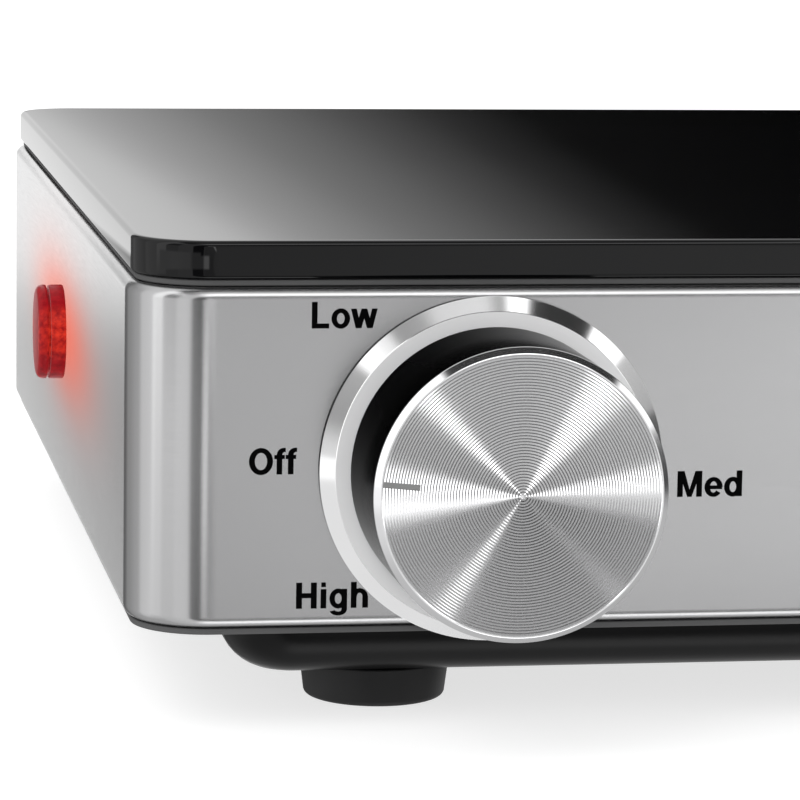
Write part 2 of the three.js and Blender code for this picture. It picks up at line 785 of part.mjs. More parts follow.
onShaft("regulator_shaft", shaftGeometry(), zincSteel);
onShaft("regulator_cam", camGeometry(), whiteNylon);
onShaft("contact_lever", leverGeometry().translate(0, leverFrom, 0), brass);
onShaft("regulator_plate", plateGeometry(), zincSteel);
add("regulator_case", caseGeometry(), blackPlastic, knobX, caseY, knobZ);
add("regulator_cover", coverGeometry(), blackPlastic, knobX, caseBackY + seat, knobZ);
tabPlaces.forEach(([x, z], i) => {
  const length = tabInside + seat + coverThickness + tabLength;
  const blade = standingBox(tabWidth, length, tabSheet, 0, length / 2, -tabSheet / 2);
  add(`regulator_tab_${i + 1}`, blade, brass, knobX + x, caseBackY - tabInside, knobZ + z);
});
regulatorScrewPlaces.forEach((x, i) => {
  const length = shellSheet + plateSheet + 2 * seat + regulatorScrewDepth;
  add(`regulator_screw_${i + 1}`, screw(length).rotateX(-Math.PI / 2), zincSteel, x, frontY - seat, knobZ);
});

// ---------- indicator lamp ----------

// Turned about X with its heights counted from the left wall, outwards negative.
function lensGeometry() {
  const back = -seat;
  const grooveFrom = back - lampFlange;
  const capFrom = grooveFrom - lampGroove;
  const front = capFrom - lampCap;
  const outline = [
    [0, front],
    [lampRadius - lampCap / 2, front],
    [lampRadius, front + lampCap / 2],
    [lampRadius, capFrom],
    [lampRadius - lampGrooveDepth, capFrom],
    [lampRadius - lampGrooveDepth, grooveFrom],
    [lampRadius, grooveFrom],
    [lampRadius, back],
    [lensNeckRadius, back],
    [lensNeckRadius, lensNeckLength],
    [lampHollow, lensNeckLength],
    [lampHollow, capFrom],
    [0, capFrom],
  ];
  return turnedX(outline, 26);
}

function lampBodyGeometry() {
  const inner = lampBodyRadius - lampBodyWall;
  const back = lampBodyLength;
  const outline = [
    [inner, 0],
    [lampBodyRadius, 0],
    [lampBodyRadius, back],
    [lampLeadBore, back],
    [lampLeadBore, back - lampBodyWall],
    [inner, back - lampBodyWall],
  ];
  return turnedX(outline, 24);
}

function neonGeometry() {
  const nose = neonRadius * 0.6;
  const outline = [[0, 0], [nose, 0.4], [neonRadius, neonRadius], [neonRadius, neonLength], [0, neonLength]];
  return turnedX(outline, 16);
}

const clipFrom = shellSheet + seat;
const lampClipOutline = tube(
  lampBodyRadius + gap / 2, lampBodyRadius + gap + lampClipWidth, clipFrom, clipFrom + lampClipSheet,
);
add("indicator_lens", lensGeometry(), redLens, leftX, lampY, lampZ);
add("indicator_body", lampBodyGeometry(), blackPlastic, leftX, lampY, lampZ);
add("indicator_neon", neonGeometry(), clearGlass, leftX + lensNeckLength / 2, lampY, lampZ);
add("indicator_clip", turnedX(lampClipOutline, 24), springSteel, leftX, lampY, lampZ);

// ---------- cord gland, terminals and wires ----------

// Turned about Y with its heights counted from the rear wall's outer face, inwards negative.
function glandGeometry() {
  const inside = -shellSheet - gap;
  const outline = [
    [glandBore, glandProtrusion],
    [glandFlangeRadius - 0.8, glandProtrusion],
    [glandFlangeRadius, glandProtrusion - 0.8],
    [glandFlangeRadius, seat],
    [glandNeckRadius, seat],
    [glandNeckRadius, inside],
    [glandBarbRadius, inside],
    [glandNeckRadius - 0.5, inside - glandBarb],
    [glandBore, inside - glandBarb],
  ];
  return turnedY(outline, 20);
}

const polePitch = blockWidth / blockPoles;
const poleX = Array.from({ length: blockPoles }, (_, i) => (i - (blockPoles - 1) / 2) * polePitch);

function blockGeometry() {
  const body = standingBox(blockWidth, blockDepth, blockHeight);
  const bores = poleX.map((x) =>
    turnedY(rod(blockBore, -blockDepth, blockDepth), 10).translate(x, 0, blockHeight / 2),
  );
  const wells = poleX.map((x) =>
    turnedZ(rod(blockWellRadius, blockHeight / 2, blockHeight + cutOver), 10).translate(x, 0, 0),
  );
  const socket = turnedZ(rod(screwRadius + gap, -cutOver, blockScrewDepth + gap), 10);
  return cut(body, ...bores, ...wells, socket);
}

function earthTabGeometry() {
  const base = standingBox(earthTabLength, earthTabWidth, barSheet);
  const blade = standingBox(barSheet, earthTabWidth, wireLift, (earthTabLength - barSheet) / 2, 0, 0);
  return cut(join(base, blade), screwHole());
}

add("cord_gland", glandGeometry(), blackRubber, glandX, halfDepth, shellBottomZ + glandRise);
add("terminal_block", blockGeometry(), creamCeramic, blockX, blockY, panInsideZ + seat);
add("earth_tab", earthTabGeometry(), brass, blockX - earthOffset, blockY, panInsideZ + seat);
const earthScrew = screw(panSheet + barSheet + screwStickOut);
add("earth_screw", earthScrew, zincSteel, blockX - earthOffset, blockY, panFloorZ - seat);
add("block_screw", screw(panSheet + 2 * seat + blockScrewDepth), zincSteel, blockX, blockY, panFloorZ - seat);

// Wires run above the pan's floor and rise to what they join. Each end stops short of its terminal.
const wireZ = panInsideZ + wireLift;
const barEnd = barSpan / 2 + barFootLength;
const blockFrontY = blockY - blockDepth / 2;
const poleZ = panInsideZ + seat + blockHeight / 2;
const poleEnd = (pole) => [blockX + poleX[pole], blockFrontY + blockBore, poleZ];
const limiterUnderside = limiterZ - limiterHeadDrop - limiterHeadHeight / 2;

// A point beside the limiter's head, at a height, to one side of its middle.
function nearLimiter(height, aside, outwards = 0) {
  const radius = headFrom + limiterHeadRadial / 2 + outwards;
  const upright = new THREE.Vector3(0, 0, 1);
  return new THREE.Vector3(radius, aside, height).applyAxisAngle(upright, limiterBearing).toArray();
}

const tabEnds = tabPlaces.map(([x, z]) => [knobX + x, tabEndY, knobZ + z]);
const [lowerLeftTab, , lowerRightTab, upperRightTab] = tabEnds;
const beyond = ([x, y, z], dx, dy, dz) => [x + dx, y + dy, z + dz];
const lampEnd = [leftX + lampBodyLength - lampBodyWall, lampY, lampZ];
const earthBladeX = blockX - earthOffset + earthTabLength / 2 + wireRadius + gap;
const besideLamp = -dishRadius - heaterClearance / 2;
const besideBar = (barEnd + halfWidth - panInsetSide - panSheet) / 2;
const underBar = barSpan / 2 - wireInset;
const limiterAside = limiterHeadWidth / 5;

const wireRoutes = {
  live: [
    poleEnd(2), beyond(poleEnd(2), 0, -12, -0.5), [blockX, blockFrontY - 28, wireZ],
    [springOffset, 40, wireZ],
    [-springOffset / 2, 26, wireZ], [-underBar, barWidth, wireZ], [-underBar, -2 * barWidth, wireZ],
    beyond(lowerRightTab, 0, 12, -12), beyond(lowerRightTab, 0, 4, 0), lowerRightTab,
  ],
  switched: [
    upperRightTab, beyond(upperRightTab, 0.5, 2.5, -1), beyond(upperRightTab, 3, 3.5, -8),
    beyond(upperRightTab, 6, 4, -20), [knobX + 34, tabEndY + 18, wireZ], [0, -0.6 * dishRadius, wireZ],
    [besideBar - 24, -0.45 * dishRadius, wireZ], [besideBar, -barWidth, wireZ],
    [besideBar, 1.5 * barWidth, wireZ + 2],
    nearLimiter(limiterUnderside - 24, -limiterAside - 4, 2),
    nearLimiter(limiterUnderside - 8, -limiterAside),
    nearLimiter(limiterUnderside - gap, -limiterAside),
  ],
  neutral: [
    poleEnd(1), beyond(poleEnd(1), 0, -6, 0.5), beyond(poleEnd(1), 0, -8, 6), beyond(poleEnd(1), 0, -6, 16),
    nearLimiter(limiterUnderside - 12, limiterAside), nearLimiter(limiterUnderside - gap, limiterAside),
  ],
  lamp: [
    lampEnd, beyond(lampEnd, 3, 0, 0), [besideLamp, lampY, lampZ - 5], [besideLamp, lampY - 3, lampZ - 16],
    [besideLamp, lampY - 14, wireZ + 3], [besideLamp + 4, lampY - 55, wireZ + 2],
    beyond(lowerLeftTab, -5, 12, -10),
    beyond(lowerLeftTab, 0, 4, 0), lowerLeftTab,
  ],
  earth: [
    poleEnd(0), beyond(poleEnd(0), -1, -7, -1),
    [(blockX + poleX[0] + earthBladeX) / 2, blockFrontY - 9, wireZ - 1],
    [earthBladeX + 1, blockFrontY - 3, wireZ - 2], [earthBladeX, blockY - 2, wireZ - 2],
  ],
};

for (const [name, route] of Object.entries(wireRoutes)) {
  const curve = new THREE.CatmullRomCurve3(route.map((point) => new THREE.Vector3(...point)));
  const steps = Math.round(curve.getLength() / wireStep);
  add(`wire_${name}`, wireAlong(curve, wireRadius, steps, 6), wireColours[name]);
}

export default hotPlate;
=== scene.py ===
# Looks of the electric hot plate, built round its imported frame. Lengths are in metres.
import math

import bmesh
import bpy
from mathutils import Matrix, Quaternion, Vector


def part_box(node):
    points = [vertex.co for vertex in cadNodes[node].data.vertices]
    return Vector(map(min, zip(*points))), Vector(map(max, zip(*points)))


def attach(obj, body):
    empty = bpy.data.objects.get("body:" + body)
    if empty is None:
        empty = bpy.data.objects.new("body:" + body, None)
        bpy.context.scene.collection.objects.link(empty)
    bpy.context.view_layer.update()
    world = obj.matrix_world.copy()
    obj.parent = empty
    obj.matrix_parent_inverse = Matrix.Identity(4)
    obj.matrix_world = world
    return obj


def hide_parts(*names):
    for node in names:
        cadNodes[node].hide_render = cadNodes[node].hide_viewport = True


mm = 0.001
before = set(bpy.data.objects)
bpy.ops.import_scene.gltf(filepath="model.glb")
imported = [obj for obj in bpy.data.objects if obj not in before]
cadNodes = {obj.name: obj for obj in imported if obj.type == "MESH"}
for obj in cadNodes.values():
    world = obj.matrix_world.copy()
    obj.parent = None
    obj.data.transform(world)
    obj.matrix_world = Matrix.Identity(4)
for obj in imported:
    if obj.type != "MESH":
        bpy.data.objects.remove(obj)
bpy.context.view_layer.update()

shellLow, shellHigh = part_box("shell")
glassLow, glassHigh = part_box("glass_top")
skirtLow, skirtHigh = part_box("knob_skirt")
lensLow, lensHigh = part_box("indicator_lens")
bodyCentre = (shellLow + shellHigh) / 2
knobAxis = (skirtLow + skirtHigh) / 2  # the shaft's line runs through here along Y
lampAxis = (lensLow + lensHigh) / 2  # the lamp's line runs through here along X
frontY, leftX = shellLow.y, shellLow.x


# mesh helpers

def placed(name, data):
    piece = bpy.data.objects.new(name, data)
    bpy.context.scene.collection.objects.link(piece)
    return piece


def evaluatedMesh(piece):
    return bpy.data.meshes.new_from_object(piece.evaluated_get(bpy.context.evaluated_depsgraph_get()))


def middleOf(node):
    return sum(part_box(node), Vector()) / 2


def finishMesh(bm, name, sharpAngle=30, recalculate=True):
    if recalculate:
        bmesh.ops.recalc_face_normals(bm, faces=bm.faces)
    mesh = bpy.data.meshes.new(name)
    bm.to_mesh(mesh)
    bm.free()
    mesh.shade_smooth()
    mesh.set_sharp_from_angle(angle=math.radians(sharpAngle))
    return placed(name, mesh)


def arcPoints(centreA, centreB, radius, start, end, steps):
    turn = [math.radians(start + (end - start) * i / steps) for i in range(steps + 1)]
    return [(centreA + radius * math.cos(a), centreB + radius * math.sin(a)) for a in turn]


def skinned(bm, rings, closed):
    # Faces between rings of points; a ring of one point is a pole.
    for here, there in list(zip(rings, rings[1:])) + ([(rings[-1], rings[0])] if closed else []):
        count = max(len(here), len(there))
        for i in range(count if count > 1 else 0):
            j = (i + 1) % count
            if len(here) == 1:
                bm.faces.new((here[0], there[j], there[i]))
            elif len(there) == 1:
                bm.faces.new((here[i], here[j], there[0]))
            else:
                bm.faces.new((here[i], here[j], there[j], there[i]))


def revolved(name, outline, axis, centre, segments=96, sharpAngle=30):
    # An outline of (radius, height) pairs turned about the X, Y or Z line through centre.
    along = {"X": Vector((1, 0, 0)), "Y": Vector((0, 1, 0)), "Z": Vector((0, 0, 1))}[axis]
    first = {"X": Vector((0, 1, 0)), "Y": Vector((0, 0, 1)), "Z": Vector((1, 0, 0))}[axis]
    second = along.cross(first)
    bm = bmesh.new()
    rings = []
    for radius, height in outline:
        middle = Vector(centre) * 1.0 + along * (height - Vector(centre).dot(along))
        if radius < 1e-7:
            rings.append([bm.verts.new(middle)])
            continue
        angles = [2 * math.pi * i / segments for i in range(segments)]
        rings.append([bm.verts.new(middle + radius * (first * math.cos(a) + second * math.sin(a)))
                      for a in angles])
    skinned(bm, rings, outline[0][0] > 1e-7 or outline[-1][0] > 1e-7)
    return finishMesh(bm, name, sharpAngle)


def roundedPlan(halfX, halfY, radius, inset, cornerSteps=18, guard=0.4 * mm):
    # Points round a rounded rectangle. A guard point beside each arc keeps the flats' shading flat.
    round_ = max(radius - inset, 0.2 * mm)
    centreX, centreY = halfX - inset - round_, halfY - inset - round_
    guard = min(guard, centreX / 2, centreY / 2)
    points = []
    for corner, (sx, sy) in enumerate(((1, 1), (-1, 1), (-1, -1), (1, -1))):
        start = 90 * corner
        arc = arcPoints(sx * centreX, sy * centreY, round_, start, start + 90, cornerSteps)
        before, after = math.radians(start - 90), math.radians(start + 180)
        arc.insert(0, (arc[0][0] + guard * math.cos(before), arc[0][1] + guard * math.sin(before)))
        arc.append((arc[-1][0] + guard * math.cos(after), arc[-1][1] + guard * math.sin(after)))
        points += arc
    return points


def carried(name, low, high, radius, profile, isFrame=False, sharpAngle=30, cornerSteps=18):
    # A profile of (inset, z) pairs carried round the rounded rectangle between two corners.
    middle = (low + high) / 2
    halfX, halfY = (high.x - low.x) / 2, (high.y - low.y) / 2
    bm = bmesh.new()
    rings = []
    for inset, z in profile:
        plan = roundedPlan(halfX, halfY, radius, inset, cornerSteps)
        rings.append([bm.verts.new((middle.x + x, middle.y + y, z)) for x, y in plan])
    skinned(bm, rings, isFrame)
    if not isFrame:
        bm.faces.new(rings[0])
        bm.faces.new(rings[-1])
    return finishMesh(bm, name, sharpAngle)


def cutWith(piece, cutters):
    # Takes the cutters out of the piece, and out of the scene.
    for cutter in cutters:
        cutting = piece.modifiers.new("cut", "BOOLEAN")
        cutting.operation = "DIFFERENCE"
        cutting.solver = "EXACT"
        cutting.object = cutter
    mesh = evaluatedMesh(piece)
    piece.modifiers.clear()
    piece.data = mesh
    mesh.shade_smooth()
    mesh.set_sharp_from_angle(angle=math.radians(30))
    for cutter in cutters:
        bpy.data.objects.remove(cutter)
    return piece


def barTool(size, shift, turn, axis, place):
    # A bar for cutting: sized, shifted along itself, turned about an axis and put in its place.
    bm = bmesh.new()
    bar = bmesh.ops.create_cube(bm, size=1.0)["verts"]
    bmesh.ops.scale(bm, vec=size, verts=bar)
    bmesh.ops.translate(bm, vec=(shift, 0, 0), verts=bar)
    bmesh.ops.rotate(bm, cent=(0, 0, 0), matrix=Matrix.Rotation(turn, 3, axis), verts=bar)
    bmesh.ops.translate(bm, vec=place, verts=bar)
    return finishMesh(bm, "barTool")


def standFor(piece, body, slot, material, *nodes):
    # Puts a finished piece in the place of its CAD nodes.
    piece.data.materials.clear()
    piece.data.materials.append(material)
    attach(piece, body)
    if nodes:
        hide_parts(*nodes)
    return piece


# Geometry Nodes helpers

def nodeTree(name, inputs):
    # A Geometry Nodes tree with named inputs, given as (name, socket type, default).
    tree = bpy.data.node_groups.new(name, "GeometryNodeTree")
    tree.interface.new_socket("Geometry", in_out="INPUT", socket_type="NodeSocketGeometry")
    tree.interface.new_socket("Geometry", in_out="OUTPUT", socket_type="NodeSocketGeometry")
    for label, kind, default in inputs:
        socket = tree.interface.new_socket(label, in_out="INPUT", socket_type=kind)
        if default is not None:
            socket.default_value = default
    return tree, tree.nodes.new("NodeGroupInput"), tree.nodes.new("NodeGroupOutput")


def feed(tree, socket, value):
    # Links the socket if the value is a socket too, and sets it if not.
    if isinstance(value, bpy.types.NodeSocket):
        tree.links.new(value, socket)
    else:
        socket.default_value = value


def put(tree, kind, operation=None, **values):
    # A node with its inputs fed, by number (n0) or by name, where an underscore stands for a space.
    node = tree.nodes.new(kind)
    if operation:
        node.operation = operation
    for label, value in values.items():
        byNumber = label[0] == "n" and label[1:].isdigit()
        feed(tree, node.inputs[int(label[1:])] if byNumber else node.inputs[label.replace("_", " ")], value)
    return node


def calc(tree, operation, *values):
    made = put(tree, "ShaderNodeMath", operation, **{f"n{i}": value for i, value in enumerate(values)})
    return made.outputs[0]


def vec(tree, operation, *values):
    made = put(tree, "ShaderNodeVectorMath", operation,
               **{f"n{i}": value for i, value in enumerate(values)})
    return made.outputs["Value" if operation in ("LENGTH", "DISTANCE") else "Vector"]


def scaled(tree, vector, factor):
    return put(tree, "ShaderNodeVectorMath", "SCALE", n0=vector, Scale=factor).outputs[0]


def endTree(tree, groupInput, groupOutput, geometry):
    # Every tree ends the same way: smooth shading, real geometry and its material.
    smooth = put(tree, "GeometryNodeSetShadeSmooth", Geometry=geometry)
    real = put(tree, "GeometryNodeRealizeInstances", Geometry=smooth.outputs[0])
    painted = put(tree, "GeometryNodeSetMaterial", Geometry=real.outputs[0],
                  Material=groupInput.outputs["Material"])
    tree.links.new(painted.outputs[0], groupOutput.inputs[0])
    return tree


def grown(name, source, tree, values, sharpAngle=30):
    # Runs the tree on the source object and keeps the result as a plain mesh.
    growing = source.modifiers.new("grow", "NODES")
    growing.node_group = tree
    identifiers = {s.name: s.identifier for s in tree.interface.items_tree if s.in_out == "INPUT"}
    for label, value in values.items():
        growing[identifiers[label]] = value
    mesh = evaluatedMesh(source)
    bpy.data.objects.remove(source)
    mesh.name = name
    mesh.set_sharp_from_angle(angle=math.radians(sharpAngle))
    return placed(name, mesh)


def pointsObject(name, points):
    mesh = bpy.data.meshes.new(name)
    mesh.from_pydata([tuple(p) for p in points], [], [])
    return placed(name, mesh)


def scatterTree():
    tree, given, result = nodeTree("scatterPiece", [
        ("Piece", "NodeSocketObject", None), ("Turn", "NodeSocketVector", (0, 0, 0)),
        ("Material", "NodeSocketMaterial", None)])
    info = put(tree, "GeometryNodeObjectInfo", Object=given.outputs["Piece"])
    copies = put(tree, "GeometryNodeInstanceOnPoints", Points=given.outputs["Geometry"],
                 Instance=info.outputs["Geometry"],
                 Rotation=given.outputs["Turn"])
    return endTree(tree, given, result, copies.outputs[0])


def scattered(name, places, piece, material, turn=(0.0, 0.0, 0.0)):
    # One plain mesh with a copy of the piece at every place.
    made = grown(name, pointsObject(name + "Places", places), scatterTree(),
                 {"Piece": piece, "Turn": turn, "Material": material})
    bpy.data.objects.remove(piece)
    return made


def springTree():
    tree, given, result = nodeTree("coilSpring", [
        ("Radius", "NodeSocketFloat", 5 * mm), ("Wire", "NodeSocketFloat", 0.7 * mm),
        ("Rise", "NodeSocketFloat", 10 * mm), ("Turns", "NodeSocketFloat", 4.0),
        ("Material", "NodeSocketMaterial", None)])
    coil = put(tree, "GeometryNodeCurveSpiral", Resolution=28, Rotations=given.outputs["Turns"],
               Start_Radius=given.outputs["Radius"], End_Radius=given.outputs["Radius"],
               Height=given.outputs["Rise"])
    section = put(tree, "GeometryNodeCurvePrimitiveCircle", Resolution=12, Radius=given.outputs["Wire"])
    wire = put(tree, "GeometryNodeCurveToMesh", Curve=coil.outputs[0], Profile_Curve=section.outputs[0],
               Fill_Caps=True)
    copies = put(tree, "GeometryNodeInstanceOnPoints", Points=given.outputs["Geometry"],
                 Instance=wire.outputs[0])
    return endTree(tree, given, result, copies.outputs[0])


# materials

def shaderGroup(name, inputs, outputs):
    group = bpy.data.node_groups.new(name, "ShaderNodeTree")
    for label, kind, default in inputs:
        socket = group.interface.new_socket(label, in_out="INPUT", socket_type=kind)
        socket.default_value = default
    for label, kind in outputs:
        group.interface.new_socket(label, in_out="OUTPUT", socket_type=kind)
    return group, group.nodes.new("NodeGroupInput"), group.nodes.new("NodeGroupOutput")


def useGroup(tree, group, **values):
    node = tree.nodes.new("ShaderNodeGroup")
    node.node_tree = group
    for label, value in values.items():
        feed(tree, node.inputs[label.replace("_", " ")], value)
    return node


def remap(tree, value, low, high, toLow, toHigh):
    node = put(tree, "ShaderNodeMapRange", Value=value, From_Min=low, From_Max=high, To_Min=toLow,
               To_Max=toHigh)
    return node.outputs["Result"]


def blendColour(tree, factor, first, second):
    node = tree.nodes.new("ShaderNodeMix")
    node.data_type = "RGBA"
    for label, value in (("Factor", factor), (6, first), (7, second)):
        feed(tree, node.inputs[label], value)
    return node.outputs[2]


def ownPlace(tree):
    return tree.nodes.new("ShaderNodeTexCoord").outputs["Object"]


def marksAround(tree, shader, axis):
    # Brush marks that run round an axis.
    around = tree.nodes.new("ShaderNodeTangent")
    around.direction_type, around.axis = "RADIAL", axis
    tree.links.new(around.outputs[0], shader.inputs["Tangent"])


def glowing(shader, colour, strength):
    shader.inputs["Emission Color"].default_value = (*colour, 1)
    shader.inputs["Emission Strength"].default_value = strength


def paint(name, colour, roughness, metallic=0.0, **more):
    # A material whose plain values sit on the shader's own sockets.
    made = bpy.data.materials.new(name)
    made.use_nodes = True
    shader = made.node_tree.nodes["Principled BSDF"]
    shader.inputs["Base Color"].default_value = (*colour, 1)
    shader.inputs["Roughness"].default_value = roughness
    shader.inputs["Metallic"].default_value = metallic
    for label, value in more.items():
        shader.inputs[label.replace("_", " ")].default_value = value
    made.diffuse_color = (*colour, 1)
    return made, made.node_tree, shader


def makeSoilGroup():
    # Uneven cleanliness: large soft patches that shift the colour and the roughness a little.
    group, given, result = shaderGroup("unevenFinish", [
        ("Color", "NodeSocketColor", (0.5, 0.5, 0.5, 1)), ("Roughness", "NodeSocketFloat", 0.4),
        ("Patch Size", "NodeSocketFloat", 0.03), ("Amount", "NodeSocketFloat", 0.1)],
        [("Color", "NodeSocketColor"), ("Roughness", "NodeSocketFloat")])
    where = ownPlace(group)
    scale = calc(group, "DIVIDE", 1.0, given.outputs["Patch Size"])
    patches = put(group, "ShaderNodeTexNoise", Vector=where, Scale=scale, Detail=3.0, Roughness=0.55)
    swing = calc(group, "MULTIPLY_ADD", patches.outputs["Fac"], 2.0, -1.0)
    shift = calc(group, "MULTIPLY", swing, given.outputs["Amount"])
    gain = calc(group, "ADD", 1.0, shift)
    tinted = scaled(group, given.outputs["Color"], gain)
    rougher = calc(group, "MULTIPLY_ADD", shift, given.outputs["Roughness"], given.outputs["Roughness"])
    group.links.new(tinted, result.inputs["Color"])
    group.links.new(rougher, result.inputs["Roughness"])
    return group


def makeGrainGroup():
    # Brush strokes: noise stretched along one direction, given as the size of a stroke on each axis.
    group, given, result = shaderGroup("brushStrokes", [
        ("Stroke", "NodeSocketVector", (0.03, 0.03, 0.0002)), ("Roughness", "NodeSocketFloat", 0.3),
        ("Amount", "NodeSocketFloat", 0.2)],
        [("Roughness", "NodeSocketFloat"), ("Height", "NodeSocketFloat")])
    where = ownPlace(group)
    stretched = vec(group, "DIVIDE", where, given.outputs["Stroke"])
    strokes = put(group, "ShaderNodeTexNoise", Vector=stretched, Scale=1.0, Detail=4.0, Roughness=0.65)
    swing = calc(group, "MULTIPLY_ADD", strokes.outputs["Fac"], 2.0, -1.0)
    shift = calc(group, "MULTIPLY", swing, given.outputs["Amount"])
    rough = calc(group, "MULTIPLY_ADD", shift, given.outputs["Roughness"], given.outputs["Roughness"])
    group.links.new(rough, result.inputs["Roughness"])
    group.links.new(strokes.outputs["Fac"], result.inputs["Height"])
    return group


def makeMouldedGroup():
    # The fine spark-eroded texture of a mould, for plastics, rubber, paint and ceramics.
    group, given, result = shaderGroup("mouldedTexture", [("Grain Size", "NodeSocketFloat", 0.0006)],
                                       [("Height", "NodeSocketFloat")])
    where = ownPlace(group)
    scale = calc(group, "DIVIDE", 1.0, given.outputs["Grain Size"])
    grain = put(group, "ShaderNodeTexNoise", Vector=where, Scale=scale, Detail=2.0, Roughness=0.6)
    group.links.new(grain.outputs["Fac"], result.inputs["Height"])
    return group


soilGroup, grainGroup, mouldedGroup = makeSoilGroup(), makeGrainGroup(), makeMouldedGroup()


def uneven(tree, shader, size=0.03, amount=0.1, colour=None, roughness=None):
    given = {"Color": colour or shader.inputs["Base Color"].default_value[:],
             "Roughness": roughness or shader.inputs["Roughness"].default_value}
    soil = useGroup(tree, soilGroup, Patch_Size=size, Amount=amount, **given)
    tree.links.new(soil.outputs["Color"], shader.inputs["Base Color"])
    tree.links.new(soil.outputs["Roughness"], shader.inputs["Roughness"])
    return soil


def relief(tree, shader, height, distance):
    bump = put(tree, "ShaderNodeBump", Strength=1.0, Distance=distance, Height=height)
    tree.links.new(bump.outputs[0], shader.inputs["Normal"])


def makeBrushedSteel():
    values = {
        "colour": (0.52, 0.52, 0.525),
        "roughness": 0.21,
        "anisotropy": 0.8,
        "stroke": (0.009, 0.009, 0.00016),
        "strokeDepth": 0.0000008,
        # the lamp's red light painted on the wall: its tint, glow, strength and spread
        "litColour": (0.62, 0.13, 0.07),
        "glowColour": (1.0, 0.10, 0.03),
        "glowStrength": 0.42,
        "glowWidth": 0.034,  # along the wall
        "glowHeight": 0.0072,
    }
    made, tree, shader = paint("brushedSteel", values["colour"], values["roughness"], 1.0,
                               Anisotropic=values["anisotropy"],
                               Anisotropic_Rotation=0.25)
    marksAround(tree, shader, "Z")
    grain = useGroup(tree, grainGroup, Stroke=values["stroke"], Roughness=values["roughness"], Amount=0.3)
    relief(tree, shader, grain.outputs["Height"], values["strokeDepth"])
    # The lamp's red light on the wall beside it is painted light: a painted glow as emission, a painted red
    # tint in the colour and a painted red tint in the reflections.
    where = ownPlace(tree)
    fromLamp = vec(tree, "SUBTRACT", where, (leftX, lampAxis.y, lampAxis.z))
    apart = vec(tree, "DIVIDE", fromLamp, (4 * mm, values["glowWidth"], values["glowHeight"]))
    distance = vec(tree, "LENGTH", apart)
    squared = calc(tree, "MULTIPLY", distance, distance)
    fall = calc(tree, "POWER", math.exp(-0.5), squared)
    glow = scaled(tree, values["glowColour"], fall)
    tree.links.new(glow, shader.inputs["Emission Color"])
    shader.inputs["Emission Strength"].default_value = values["glowStrength"]
    lit = blendColour(tree, fall, (*values["colour"], 1), (*values["litColour"], 1))
    uneven(tree, shader, 0.05, 0.04, colour=lit)
    tree.links.new(grain.outputs["Roughness"], shader.inputs["Roughness"])
    # painted red reflection of the lamp on the wall near it
    paintedLampReflectionTint = blendColour(tree, fall, (1, 1, 1, 1), (1, 0.25, 0.12, 1))
    tree.links.new(paintedLampReflectionTint, shader.inputs["Specular Tint"])
    return made


def makeTurnedMetal(name, colour, roughness, anisotropy, axis, stroke=0.00012, depth=0.0000003,
                    edgeTint=1.0):
    # Metal turned on a lathe: its marks run round the given axis.
    made, tree, shader = paint(name, colour, roughness, 1.0, Anisotropic=anisotropy,
                               Anisotropic_Rotation=0.25,
                               Specular_Tint=(edgeTint, edgeTint, edgeTint, 1))
    marksAround(tree, shader, axis)
    where = ownPlace(tree)
    centre = {"X": lampAxis, "Y": knobAxis, "Z": bodyCentre}[axis]
    kept = {"X": (0, 1, 1), "Y": (1, 0, 1), "Z": (1, 1, 0)}[axis]
    across = vec(tree, "SUBTRACT", where, tuple(centre))
    flat = vec(tree, "MULTIPLY", across, kept)
    radius = vec(tree, "LENGTH", flat)
    along = put(tree, "ShaderNodeSeparateXYZ", Vector=across).outputs[axis]
    place = put(tree, "ShaderNodeCombineXYZ", X=radius, Y=along, Z=0.0).outputs[0]
    marks = put(tree, "ShaderNodeTexNoise", Vector=place, Scale=1 / stroke, Detail=3.0, Roughness=0.6)
    relief(tree, shader, marks.outputs["Fac"], depth)
    uneven(tree, shader, 0.02, 0.06)
    return made


def makeBlackGlass():
    values = {"colour": (0.0018, 0.0018, 0.0021), "roughness": 0.035, "smearAmount": 0.35}
    made, tree, shader = paint("blackGlass", values["colour"], values["roughness"], IOR=1.36)
    uneven(tree, shader, 0.06, values["smearAmount"])
    return made


def makeMoulded(name, colour, roughness, grain=0.0006, depth=0.000012, patch=0.02, amount=0.1, **more):
    made, tree, shader = paint(name, colour, roughness, **more)
    uneven(tree, shader, patch, amount)
    relief(tree, shader, useGroup(tree, mouldedGroup, Grain_Size=grain).outputs["Height"], depth)
    return made


def makeSheetMetal(name, colour, roughness, spangle, amount, depth=0.000002):
    # Plated or rolled sheet with a faint spangle.
    made, tree, shader = paint(name, colour, roughness, 1.0)
    uneven(tree, shader, spangle, amount)
    relief(tree, shader, useGroup(tree, mouldedGroup, Grain_Size=spangle / 6).outputs["Height"], depth)
    return made


def makeFibre():
    # Pressed insulating fibre: clumps over a fine felted nap.
    made, tree, shader = paint("insulationFibre", (0.60, 0.53, 0.44), 0.95)
    uneven(tree, shader, 0.006, 0.22)
    relief(tree, shader, useGroup(tree, mouldedGroup, Grain_Size=0.0012).outputs["Height"], 0.0004)
    return made


